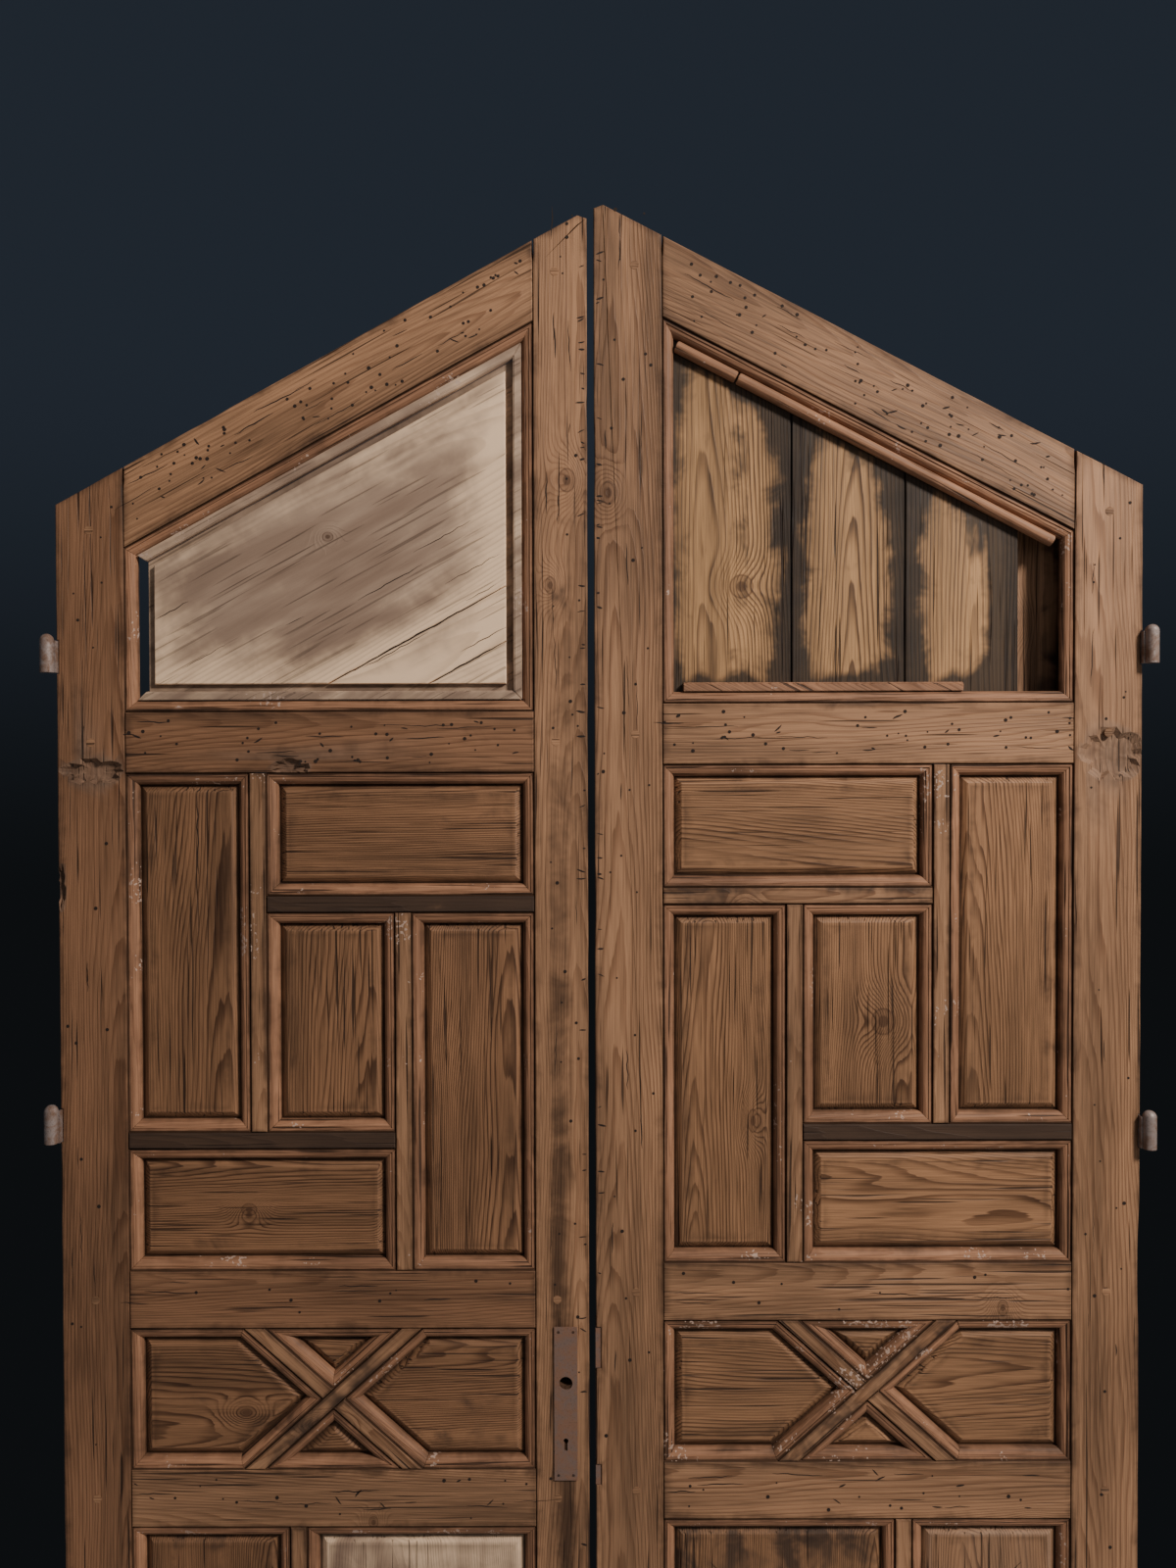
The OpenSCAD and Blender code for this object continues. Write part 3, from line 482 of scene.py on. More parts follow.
def grain_group():
    """Pine grain from a board's own frame: late wood lines, fibres and drying checks."""
    tree, n, i, o = group(
        "pine_grain",
        [("Grain", "Vector"), ("Mound", "Float", 0), ("Ring Width", "Float", 0.0034),
         ("Taper", "Float", 0.022)],
        [("Late", "Float"), ("Fibre", "Float"), ("Check", "Float")],
    )
    grain = i["Grain"]
    slow = n.streaks(grain, (1.6, 10, 10), 2, out=1)
    centred = n.vector("SUBTRACT", slow, (0.5, 0.5, 0.5))
    bent = n.vector("MULTIPLY_ADD", centred, (0, 0.042, 0.042), grain)
    part = n.feed(n.put("ShaderNodeSeparateXYZ"), bent).outputs
    far = n.math("SQRT", n.plus(n.math("POWER", part[1], 2), n.math("POWER", part[2], 2)))
    sloped = n.math("MULTIPLY_ADD", part[0], i["Taper"], far)
    small = n.streaks(grain, (9, 110, 110), 2, 0.6)
    sloped = n.plus(sloped, n.times(n.less(small, 0.5), 0.0022))
    rings = n.math("DIVIDE", n.plus(sloped, i["Mound"]), i["Ring Width"])
    part_of_ring = n.math("FRACT", rings)
    rise = n.between(part_of_ring, 0.42, 0.9)
    fall = n.between(part_of_ring, 1, 0.93)
    which = n.streaks(grain, (0.6, 60, 60), 1)
    late = n.times(n.times(rise, fall), n.between(which, 0.25, 0.65, 0.35, 1))
    fibre = n.streaks(grain, (14, 620, 620), 2, 0.7)
    checks = n.streaks(grain, (6, 260, 260), 1, 0.55)
    where = n.streaks(grain, (1.5, 14, 14), 1)
    check = n.between(n.plus(checks, n.times(where, 0.22)), 0.76, 0.84)
    n.feed(o, late, fibre, check)
    return tree


def patina_group():
    """Age on bare wood: tone, dirt and painted shade by the edges and in hollows, stain, bleaching and flecks
    of old paint.
    """
    tree, n, i, o = group(
        "patina",
        [("Late", "Float", 0), ("Fibre", "Float", 0.5), ("Check", "Float", 0),
         ("Heart", "Float", 0), ("Finish", "Color"), ("Flecks", "Float", 0),
         ("Position", "Vector"), ("Grain", "Vector"),
         ("Light Wood", "Color"), ("Late Wood", "Color"), ("Bleached", "Color", (1, 0.71, 0.47, 1)),
         ("Stained", "Color"), ("Contrast", "Float", 0.95)],
        [("Color", "Color"), ("Roughness", "Float"), ("Height", "Float")],
    )
    dirt_and_shade, bleach, stain = n.feed(n.put("ShaderNodeSeparateColor"), i["Finish"]).outputs
    wide = n.noise(i["Position"], 3.2, 3, 0.55)
    streak = n.streaks(i["Grain"], (1.8, 26, 26), 3, 0.6)
    patch = n.noise(i["Position"], 21, 3, 0.66, 0.4)
    wood = n.mix(n.times(i["Late"], i["Contrast"]), i["Light Wood"], i["Late Wood"])
    tone = n.plus(n.times(streak, 0.62), n.times(wide, 0.5))
    tone = n.plus(tone, n.times(i["Fibre"], 0.55))
    tone = n.between(tone, 0.55, 1.12, 0.45, 1.45)
    grey = n.feed(n.put("ShaderNodeCombineColor"), tone, tone, tone).outputs[0]
    wood = n.mix(1, wood, grey, "MULTIPLY")
    # bleaching turns the wood grey-brown first, and cream where it is strongest
    pale = n.mix(n.times(i["Late"], 0.3), i["Bleached"], (0.36, 0.23, 0.14, 1))
    drift = n.streaks(i["Grain"], (3.5, 17, 17), 3, 0.65, 0.3)
    uneven = n.less(n.plus(drift, n.times(patch, 0.5)), 0.75)
    grey = n.mix(n.between(drift, 0.3, 0.7), (0.27, 0.178, 0.128, 1), (0.5, 0.355, 0.26, 1))
    wood = n.mix(n.between(bleach, 0.02, 0.25, 0, 0.85), wood, grey)
    cream = n.between(n.plus(bleach, n.times(uneven, 1.3)), 0.35, 1.1)
    wood = n.mix(n.times(cream, n.between(bleach, 0.02, 0.2)), wood, pale)
    # stain and grime, with painted shade: the dirt channel also holds painted shade at edges and in hollows,
    # and the stain channel holds painted shade over the leaves and in the lock recesses
    grime_and_shade = n.plus(dirt_and_shade, n.times(n.less(patch, 0.5), 1.2))
    grime_and_shade = n.times(n.between(grime_and_shade, 0.15, 0.9), n.between(dirt_and_shade, 0, 0.15))
    wood = n.mix(n.times(grime_and_shade, 0.8), wood, (0.045, 0.022, 0.012, 1))
    worn_off = n.plus(n.times(n.less(patch, 0.5), 0.9), n.less(streak, 0.5))
    dark = n.times(n.between(n.plus(stain, worn_off), 0.3, 0.66), n.between(stain, 0, 0.12))
    wood = n.mix(n.times(dark, 0.9), wood, i["Stained"])
    wood = n.mix(n.times(i["Heart"], 0.75), wood, (0.06, 0.026, 0.013, 1))
    cracked = n.times(i["Check"], n.between(bleach, 0, 0.5, 0.8, 0.32))
    wood = n.mix(cracked, wood, (0.018, 0.009, 0.006, 1))
    # flecks of old pink and white paint
    speck = n.noise(i["Position"], 230, 1, 0.7)
    spread = n.noise(i["Position"], 17, 2, 0.5)
    plenty = n.times(n.between(i["Flecks"], 0, 0.3), n.between(spread, 0.42, 0.72, 0, 0.4))
    limit = n.less(0.96, plenty)
    fleck = n.math("GREATER_THAN", speck, limit)
    wood = n.mix(n.times(fleck, 0.8), wood, (0.56, 0.4, 0.32, 1))
    rough = n.between(n.plus(i["Fibre"], n.times(dirt_and_shade, 0.4)), 0.3, 1, 0.52, 0.78)
    height = n.plus(n.times(i["Late"], 0.5), n.times(i["Fibre"], 0.55))
    height = n.less(height, n.times(i["Check"], 2.4))
    n.feed(o, wood, rough, height)
    return tree


GROUPS = {}


def placed(n, name, **values):
    return n.feed(n.put("ShaderNodeGroup", node_tree=GROUPS[name]), **values).outputs


def fresh(name):
    material = bpy.data.materials.new(name)
    material.use_nodes = True
    n = Nodes(material.node_tree)
    surface = material.node_tree.nodes["Principled BSDF"]
    return material, n, surface


def pine(name, knots, ring_width, taper, contrast, light, late, stained=(0.045, 0.027, 0.019, 1)):
    """A pine finish. knots are (x, z, half width, half height) on the faces of its boards."""
    material, n, surface = fresh(name)
    place = n.put("ShaderNodeTexCoord").outputs["Object"]
    grain = n.put("ShaderNodeAttribute", attribute_name="grain").outputs["Vector"]
    finish_of = n.put("ShaderNodeAttribute", attribute_name="finish")
    mound, heart = 0, 0
    for x, z, w, h in knots:
        k = placed(n, "knot", Position=place, Centre=(x, -0.015, z), Spread=(1 / w, 0, 1 / h),
                   Mound=mound, Heart=heart)
        mound, heart = k["Mound"], k["Heart"]
    g = placed(n, "pine_grain", Grain=grain, Mound=mound, Ring_Width=ring_width, Taper=taper)
    p = placed(n, "patina", Late=g["Late"], Fibre=g["Fibre"], Check=g["Check"], Heart=heart,
               Finish=finish_of.outputs["Color"], Flecks=finish_of.outputs["Alpha"],
               Position=place, Grain=grain, Contrast=contrast, Light_Wood=light, Late_Wood=late,
               Stained=stained)
    n.feed(surface, Base_Color=p["Color"], Roughness=p["Roughness"], Specular_IOR_Level=0.3,
           Normal=n.bump(p["Height"], 0.6, 0.0009))
    return material


def rusted(name, base, rust, metallic):
    """Old iron: brown rust in patches over a duller skin, pitted all over."""
    material, n, surface = fresh(name)
    place = n.put("ShaderNodeTexCoord").outputs["Object"]
    patch = n.noise(place, 70, 5, 0.65, 0.6)
    pits = n.noise(place, 490, 3, 0.6)
    share = n.between(patch, 0.38, 0.62)
    colour = n.mix(share, base, rust)
    colour = n.mix(n.times(n.between(pits, 0.55, 0.7), 0.5), colour, (0.02, 0.013, 0.01, 1))
    n.feed(surface, Base_Color=colour, Metallic=metallic,
           Roughness=n.between(patch, 0.3, 0.7, 0.5, 0.85),
           Normal=n.bump(n.plus(patch, n.times(pits, 0.5)), 0.5, 0.0006))
    return material


GROUPS["knot"] = knot_group()
GROUPS["pine_grain"] = grain_group()
GROUPS["patina"] = patina_group()

KNOTS = [
    (-0.038, 2.115, 0.022, 0.030), (0.012, 2.100, 0.018, 0.030), (-0.058, 1.99, 0.014, 0.022),
    (0.335, 1.465, 0.042, 0.038), (0.175, 1.588, 0.018, 0.026), (-0.275, 0.86, 0.012, 0.016),
    (-0.478, 0.805, 0.02, 0.016), (0.52, 0.84, 0.018, 0.02), (0.508, 1.95, 0.02, 0.024),
    (0.255, 2.13, 0.022, 0.04), (-0.335, 0.98, 0.03, 0.012), (0.485, 1.12, 0.014, 0.02),
]
PANEL_KNOTS = [
    (0.342, 1.465, 0.03, 0.034), (-0.425, 1.238, 0.02, 0.016), (0.185, 1.345, 0.014, 0.03),
    (-0.248, 1.218, 0.014, 0.02), (-0.43, 0.99, 0.026, 0.016), (-0.12, 1.62, 0.04, 0.018),
]
# name, knots, ring width, taper, contrast, light wood, late wood
# The two darker copies below, of old pine and of panel pine, go on parts of the left leaf: painted shade for
# the light falling off towards the left.
pine_with_painted_shade = pine("pine_with_painted_shade", KNOTS, 0.0029, 0.022, 0.62,
                   (0.255, 0.128, 0.068, 1), (0.1, 0.041, 0.019, 1))
old_pine = pine("old_pine", KNOTS, 0.0029, 0.022, 0.62,
                (0.345, 0.185, 0.1, 1), (0.13, 0.056, 0.026, 1))
panel_pine = pine("panel_pine", PANEL_KNOTS, 0.0027, 0.026, 0.86,
                  (0.325, 0.168, 0.085, 1), (0.07, 0.028, 0.012, 1))
panel_with_painted_shade = pine("panel_with_painted_shade", PANEL_KNOTS, 0.0027, 0.026, 0.86,
                    (0.262, 0.132, 0.067, 1), (0.056, 0.022, 0.01, 1))
mould_pine = pine("moulding_pine", (), 0.003, 0.022, 0.4, (0.36, 0.18, 0.1, 1), (0.19, 0.08, 0.04, 1))
bleached_pine = pine("bleached_pine", [(-0.325, 2.05, 0.014, 0.012)], 0.005, 0.03, 0.5,
                     (0.33, 0.225, 0.155, 1), (0.2, 0.125, 0.08, 1))
charred_pine = pine("charred_pine", [(0.172, 1.99, 0.03, 0.03)], 0.0042, 0.026, 1,
                    (0.45, 0.25, 0.115, 1), (0.09, 0.045, 0.022, 1), (0.02, 0.015, 0.012, 1))
plate_iron = rusted("plate_iron", (0.2, 0.13, 0.105, 1), (0.24, 0.125, 0.08, 1), 0.1)
knuckle_iron = rusted("knuckle_iron", (0.3, 0.24, 0.22, 1), (0.2, 0.12, 0.085, 1), 0.25)
dark_iron = rusted("dark_iron", (0.06, 0.045, 0.04, 1), (0.09, 0.045, 0.028, 1), 0.4)


# A near-black finish for the splits, joints and nail holes; on the nail holes it is painted shade in place of
# real holes.
def dark_split():
    material, n, surface = fresh("dark_split")
    place = n.put("ShaderNodeTexCoord").outputs["Object"]
    shade = n.noise(place, 300.0, 2)
    n.feed(surface, Base_Color=n.mix(shade, (0.008, 0.004, 0.003, 1), (0.03, 0.015, 0.009, 1)),
           Roughness=n.between(shade, 0.2, 0.8, 0.8, 0.95))
    return material


split_dark = dark_split()


# ------------ the two leaves


def outer_edge_wear(side, seed):
    """Wear for a stile or raking rail: more where the edge is the leaf's own outside."""
    plain, rough = worn(seed, 0.0004), worn(seed + 50, 0.0015, 0.0035, 17)
    other = worn(seed + 90, 0.0007, 0.0016, 30)

    def wear(p, run):
        if GAP_X[0] < p.x < GAP_X[1]:
            return other(p, run)
        outside = abs(abs(p.x) - HINGE_EDGE_X) < 0.001 or p.y > top_at(side, p.x) - 0.001
        return (rough if outside else plain)(p, run)

    return wear


def top_at(side, x):
    """Height of the leaf's raking top edge at x."""
    low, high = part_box(side + "_raking_rail")
    run = x - low.x if side == "left" else high.x - x
    rise = high.z - (high.x - low.x) * math.tan(RAKE[side])
    return rise + run * math.tan(RAKE[side])


# Stain raised over both leaves, more on the left: painted shade for the light falling off towards the left.
PAINTED_SHADE_BY_SIDE = {"left": 0.09, "right": 0.04}


def stiles_and_rails(side):
    seed = 11 if side == "left" else 37
    for k, name in enumerate(
        ("hinge_stile", "meeting_stile", "raking_rail", "frieze_rail", "high_rail", "low_rail",
         "bottom_rail")
    ):
        node = f"{side}_{name}"
        work = Joinery(node + "_worn")
        direction = UP if "stile" in name else RAKE_LINE[side] if name == "raking_rail" else ALONG
        for s in solids(node):
            board = plank(s, direction, seed * 10 + k, outer_edge_wear(side, seed + k),
                          (0.06, 0, 0, 0.03))
            for cutter in TEARS.get(node, ()):
                board = bite(board, cutter)
            # The cut faces of the lock recesses and bores get a dark finish: painted shade inside them.
            for cutter in RECESSES.get(node, ()):
                board = bite(board, cutter, (0.9, 0, 0.3, 0))
            work.add(*board)
        # The left leaf's hinge stile, frieze rail and high rail take the darker copy, and all but the raking
        # rail take raised stain: painted shade.
        gets_painted_shade = side == "left" and name in ("hinge_stile", "frieze_rail", "high_rail")
        work.object(pine_with_painted_shade if gets_painted_shade else old_pine, side + "_leaf", [node], "worn_pine",
                    0 if name == "raking_rail" else PAINTED_SHADE_BY_SIDE[side] / 3)


def muntins(side):
    node = side + "_muntins"
    work = Joinery(node + "_worn")
    for k, s in enumerate(solids(node)):
        size = s["high"] - s["low"]
        upright = size.z > size.x
        stain = 0 if upright else 0.95
        if side == "right" and not upright and s["high"].z > 1.5:
            stain = 0.35
        marks = (0.12, 0, stain, 0.32 if upright else 0.05)
        work.add(*plank(s, UP if upright else ALONG, 300 + k, worn(300 + k, 0.0006), marks))
    work.object(old_pine, side + "_leaf", [node], "dark_pine")


def cross_bars(side):
    node = side + "_cross_bars"
    work = Joinery(node + "_worn")
    parts = solids(node)
    longest = max(parts, key=lambda s: abs(area(s["outline"])))
    for k, s in enumerate(parts):
        a, b = max(pairs(s["outline"]), key=lambda ab: (ab[1] - ab[0]).length)
        over = s is longest
        marks = (0.15, 0, 0.3 if over else 0.15, 0.12 if over else 0.6)
        work.add(*plank(s, b - a, 500 + k, worn(500 + k, 0.0006), marks))
    work.object(old_pine, side + "_leaf", [node], "dark_pine")


def opening_of(field):
    """The opening that a fielded panel's raised field was made for."""
    return moved_in(field, -(BEVEL_W + MOULD_W + FIT))


def fielded(work, opening, direction, seed, marks):
    """A fielded panel: raised field, bevel, and a flat margin under the moulding."""
    dirt_and_shade, bleach, stain, flecks = marks
    foot, field = MOULD_W + FIT, MOULD_W + FIT + BEVEL_W
    narrow = min(side_lengths(opening)) - 2 * field
    # Darker down the bevel and in the margin under the moulding: painted shade in the hollow, and dirt.
    rim = (dirt_and_shade + 0.4, bleach, stain, flecks)
    arris = (dirt_and_shade + 0.05, min(1, bleach + 0.05), stain, flecks)
    slope = (dirt_and_shade + 0.5, bleach, stain, flecks)
    hollow = (1, bleach * 0.5, stain, flecks)
    rings = [
        (field + min(0.02, narrow * 0.3), FIELD_Y, marks, 0),
        (field + min(0.005, narrow * 0.12), FIELD_Y, rim, 0.5),
        (field + 0.0008, FIELD_Y + 0.0001, arris, 1),
        (field - 0.0004, FIELD_Y + 0.0006, arris, 1),
        (foot + 0.003, PANEL_Y - 0.0022, slope, 0.4),
        (foot, PANEL_Y, hollow, 0),
        (0.004, PANEL_Y, hollow, 0),
        (-0.0004, PANEL_Y, hollow, 0),
        (-0.0004, PANEL_BACK_Y, rim, 0),
        (0.015, PANEL_BACK_Y, marks, 0),
    ]
    work.add(*ringed(opening, rings, worn(seed, 0.0007, 0.0006), direction, seed, 0.008))


# Planted moulding: (inward, depth, dirt, flecks). The dirt column is highest in the quirk and at the foot:
# painted shade in the hollows, and dirt.
MOULDING = (
    [(0.0002, PANEL_Y, 1, 0), (0.0002, FACE_Y + 0.0012, 1, 0), (0.0011, FACE_Y + 0.0035, 1, 0),
     (0.0017, FACE_Y + 0.0011, 0.7, 0.1), (0.0043, FACE_Y + 0.001, 0.3, 0.25),
     (0.0048, FACE_Y + 0.0021, 0.95, 0)]
    + [
        (0.005 + 0.009 * math.sin(t), FACE_Y + 0.002 + 0.0095 * (1 - math.cos(t)), 0.1 + 0.5 * k / 5, 0.3)
        for k in range(6)
        for t in (math.pi / 2 * k / 5,)
    ]
    + [(0.0137, PANEL_Y, 1, 0)]
)


def moulding(work, opening, seed, marks=(0, 0, 0, 0)):
    """The moulding round an opening: one mitred length for each side, chipped along its edge."""
    dirt_and_shade, bleach, stain, flecks = marks
    for side in range(len(opening)):
        line = samples(opening, 0.007, [side])
        along = (line[-1][0] - line[0][0]).normalized()
        wear = worn(seed * 5 + side, 0.0004, 0.0022, 40)
        points, finish, run = [], [], 0
        for r, (p, m, n) in enumerate(line):
            run += (p - line[r - 1][0]).length if r else 0
            lost = wear(p, run)
            shy = 0.00022 * (1 if r == 0 else -1 if r == len(line) - 1 else 0)
            for w, y, d, f in MOULDING:
                proud = max(0, (PANEL_Y - y) - 0.006) / 0.007
                q = p + m * w + along * shy
                points.append((q.x, y + lost * proud * 0.8, q.y))
                finish.append((min(1, d + dirt_and_shade), bleach, stain, f + flecks))
        d = opening[(side + 1) % len(opening)] - opening[side]
        work.add(points, lofted(len(line), len(MOULDING)), finish,
                 flow(opening, d, seed * 13 + side, (0.04, 0.05)))


def panels_and_mouldings(side):
    """The three blocks of a leaf, each panel as (opening, grain, seed, marks, moulding's marks)."""
    own = 50 if side == "right" else 0
    plain = (0, 0, 0, 0)
    pinwheel, cross, lower = [], [], []
    for k, s in enumerate(solids(side + "_pinwheel_panels")):
        size = s["high"] - s["low"]
        pinwheel.append((opening_of(s["outline"]), UP if size.z > size.x else ALONG, 700 + k + own,
                         (0, 0, 0.05, 0.02), plain))
    for k, s in enumerate(solids(side + "_cross_panels")):
        cross.append((opening_of(s["outline"]), ALONG, 800 + k + own, (0.05, 0, 0.1, 0.05),
                      (0.05, 0, 0.1, 0.25)))
    halves = solids(side + "_lower_panels")
    for k, two in enumerate((halves[:2], halves[2:])):
        corners = [p for s in two for p in s["outline"]]
        x = sorted(p.x for p in corners)
        z = sorted(p.y for p in corners)
        field = [Vector(p) for p in ((x[0], z[0]), (x[-1], z[0]), (x[-1], z[-1]), (x[0], z[-1]))]
        inner = abs(x[0] + x[-1]) < 0.66
        pale = {("left", True): 0.68, ("right", False): 0.08}.get((side, inner), 0)
        stain = {("left", False): 0.3, ("right", True): 0.5}.get((side, inner), 0)
        lower.append((opening_of(field), UP, 900 + k, (0, pale, stain, 0), plain))
    # Raised stain on the pinwheel and cross panels and, at half, on the pinwheel mouldings: painted shade.
    dark = PAINTED_SHADE_BY_SIDE[side]
    for name, panels, painted_shade, trim_painted_shade in (
        ("pinwheel", pinwheel, dark, dark / 2), ("cross", cross, dark, 0), ("lower", lower, 0, 0)
    ):
        block = f"{side}_{name}"
        work, trim = Joinery(block + "_panels_worn"), Joinery(block + "_mouldings_worn")
        for opening, direction, seed, marks, trim_marks in panels:
            fielded(work, opening, direction, seed, marks)
            moulding(trim, opening, seed, trim_marks)
        # The left leaf's panels take the darker copy: painted shade.
        work.object(panel_pine if side == "right" else panel_with_painted_shade, side + "_leaf",
                    [block + "_panels"], "panel_pine", painted_shade)
        trim.object(mould_pine, side + "_leaf", [block + "_mouldings"], "worn_pine", trim_painted_shade)


def head_opening(side):
    low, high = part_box(side + "_head_mouldings")
    drop = (high.x - low.x) * math.tan(RAKE[side])
    left, right = (high.z - drop, high.z) if side == "left" else (high.z, high.z - drop)
    return [Vector((low.x, low.z)), Vector((high.x, low.z)), Vector((high.x, right)), Vector((low.x, left))]


def hull(points):
    """The smallest outline round some flat points, anticlockwise."""
    points = sorted({(round(p.x, 6), round(p.y, 6)) for p in points})
    sides = []
    for run in (points, points[::-1]):
        side = []
        for p in run:
            while len(side) > 1 and (
                (side[-1][0] - side[-2][0]) * (p[1] - side[-2][1])
                - (side[-1][1] - side[-2][1]) * (p[0] - side[-2][0])
            ) <= 1e-9:
                side.pop()
            side.append(p)
        sides += side[:-1]
    return [Vector(p) for p in sides]


def heads():
    for side in SIDES:
        trim = Joinery(side + "_head_mouldings_worn")
        moulding(trim, head_opening(side), 77 if side == "left" else 78)
        trim.object(mould_pine, side + "_leaf", [side + "_head_mouldings"], "worn_pine")
    # bleached boards on the rake
    work = Joinery("left_head_boards_worn")
    low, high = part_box("left_head_boards")

    def faded(q, finish):
        """Cream low down and to the right, grey-brown high up."""
        dirt_and_shade, bleach, stain, flecks = finish
        right = (q.x - low.x) / (high.x - low.x)
        down = 1 - (q.y - low.z) / (high.z - low.z)
        return dirt_and_shade, max(0, min(1, bleach * (0.45 + 0.75 * max(right**2, down**3)))), stain, flecks

    for k, s in enumerate(sorted(solids("left_head_boards"), key=lambda s: -abs(area(s["outline"])))):
        inner = 0.42 if k == 0 else 0.95
        outline = s["outline"]
        wide = min(side_lengths(outline)) * 0.32
        rings = [
            (min(share, wide) if wide > 0.03 else wide * share / 0.1, FIELD_Y,
             (0.02, min(1, inner + glow), 0, 0), 0)
            for share, glow in ((0.1, 0), (0.065, 0.08), (0.035, 0.28), (0.015, 0.5))
        ] + [
            (0.0008, FIELD_Y, (0, 1, 0, 0), 1),
            (-0.0002, FIELD_Y + 0.0008, (0.1, 1, 0, 0), 1),
            (-0.0002, PANEL_Y + 0.001, (0.6, 0.6, 0, 0), 0),
        ]
        work.add(*ringed(moved_in(outline, 0.0001), rings, worn(60 + k, 0.0006, 0.0008),
                         RAKE_LINE["left"], 60 + k, tint=faded))
    around = hull([p for s in solids("left_head_boards") for p in s["outline"]])
    rings = [
        (0.03, PANEL_Y, (0.6, 0.6, 0, 0), 0),
        (-0.008, PANEL_Y, (0.6, 0.6, 0, 0), 0),
        (-0.008, PANEL_BACK_Y, (0.3, 0.3, 0.2, 0), 0),
        (0.03, PANEL_BACK_Y, (0.2, 0.4, 0.1, 0), 0),
    ]
    work.add(*ringed(around, rings, worn(68, 0), RAKE_LINE["left"], 68))
    work.object(bleached_pine, "left_leaf", ["left_head_boards"], "bleached_pine")
    # upright boards, charred at their edges
    work = Joinery("right_head_boards_worn")
    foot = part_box("right_head_boards")[0].z
    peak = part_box("right_head_mouldings")[1]

    def darkened_by_place(q, finish):
        """Darker under the rake, at the foot and towards the hinge side."""
        dirt_and_shade, bleach, stain, flecks = finish
        under = peak.z - 0.02 - (q.x - 0.076) * math.tan(RAKE["right"]) - q.y
        more = max(0, 1 - under / 0.09) * 0.45 + max(0, 1 - (q.y - foot - 0.03) / 0.05) * 0.3
        more += max(0, (q.x - 0.4) / 0.1) * 0.25
        return dirt_and_shade, bleach, min(1, stain + more), flecks

    for k, s in enumerate(solids("right_head_boards")):
        rings = [
            (0.05, PANEL_Y, (0.1, 0, 0.05, 0), 0),
            (0.033, PANEL_Y, (0.15, 0, 0.32, 0), 0),
            (0.018, PANEL_Y, (0.28, 0, 0.6, 0), 0),
            (0.0012, PANEL_Y, (0.55, 0, 0.9, 0), 1),
            (0, PANEL_Y + 0.001, (1, 0, 1, 0), 1),
            (0, PANEL_BACK_Y, (1, 0, 0.6, 0), 1),
        ]
        work.add(*ringed(s["outline"], rings, worn(70 + k, 0.0009, 0.0012), UP, 70 + k,
                         tint=darkened_by_place, pith=((-0.02, 0.01, 0.02)[k], 0.035)))
    work.object(charred_pine, "right_leaf", ["right_head_boards"], "bleached_pine")


def carried(node, body, material, slot, direction=UP, bevel=0.0008, marks=(0.1, 0, 0, 0)):
    """A merged copy of a CAD node with its arrises eased, in its own finish."""
    bm = bmesh.new()
    bm.from_mesh(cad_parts[node].data)
    bmesh.ops.remove_doubles(bm, verts=bm.verts, dist=0.00003)
    bmesh.ops.dissolve_limit(bm, angle_limit=math.radians(1), verts=bm.verts, edges=bm.edges)
    sharp = [e for e in bm.edges if len(e.link_faces) == 2 and e.calc_face_angle(0) > math.radians(35)]
    if bevel:
        bmesh.ops.bevel(bm, geom=sharp, offset=bevel, segments=2, affect="EDGES", clamp_overlap=True)
    bmesh.ops.recalc_face_normals(bm, faces=bm.faces)
    work = Joinery(node + "_worn")
    points = [tuple(v.co) for v in bm.verts]
    bm.verts.index_update()
    faces = [tuple(v.index for v in f.verts) for f in bm.faces]
    bm.free()
    flat = [Vector((p[0], p[2])) for p in points]
    work.add(points, faces, [marks] * len(points), flow(flat, direction, len(points), (0.05, 0.06)))
    piece = work.object(material, body, [node], slot)
    for f in piece.data.polygons:
        f.use_smooth = True
    with bpy.context.temp_override(object=piece, selected_editable_objects=[piece]):
        bpy.ops.object.shade_smooth_by_angle(angle=math.radians(40))
    return piece


TEARS = {
    "left_hinge_stile": [splintered(-0.648, 1.752, -0.566, 1.786, 0.007, 3),
                         splintered(-0.652, 1.60, -0.640, 1.66, 0.005, 5)],
    "right_hinge_stile": [splintered(0.572, 1.752, 0.655, 1.822, 0.006, 8)],
    "left_frieze_rail": [splintered(-0.395, 1.760, -0.345, 1.785, 0.006, 12)],
}
keep_low, keep_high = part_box("strike_plate")
lips = [(keep_high.z - 0.048, keep_high.z), (keep_low.z, keep_low.z + 0.023)]
STILE_IN, AROUND_BOLT, KEY_DROP = -0.004, 0.0015, 0.0695
pockets = []
for bolt, travel in (("latch_bolt", 0.012), ("dead_bolt", 0.014)):
    low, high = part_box(bolt)
    pockets.append(box_cutter((STILE_IN, low.y - AROUND_BOLT, low.z - AROUND_BOLT),
                              (high.x + travel + 0.002, high.y + AROUND_BOLT, high.z + AROUND_BOLT)))
low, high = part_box("follower")
spindle = ((low.x + high.x) / 2, (low.z + high.z) / 2)
depth = (FACE_Y - 0.001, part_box("lock_case")[0].y + 0.0005)
RECESSES = {
    "left_meeting_stile": [
        recess("forend", FIT), recess("lock_case", FIT),
        bore_cutter(*spindle, 0.0098, 0.0098, *depth),
        bore_cutter(spindle[0] + 0.0005, spindle[1] - KEY_DROP, 0.0042, 0.0105, *depth),
    ],
    "right_meeting_stile": [
        box_cutter((keep_low.x - FIT, -0.0113, keep_low.z - FIT), (-0.0028, 0.0113, keep_high.z + FIT))
    ] + [
        box_cutter((keep_low.x - FIT, FACE_Y - 0.001, a - FIT), (x, y, b + FIT))
        for a, b in lips for x, y in ((keep_high.x + FIT, FACE_Y + 0.0017), (-0.0042, -0.011))
    ] + pockets,
}

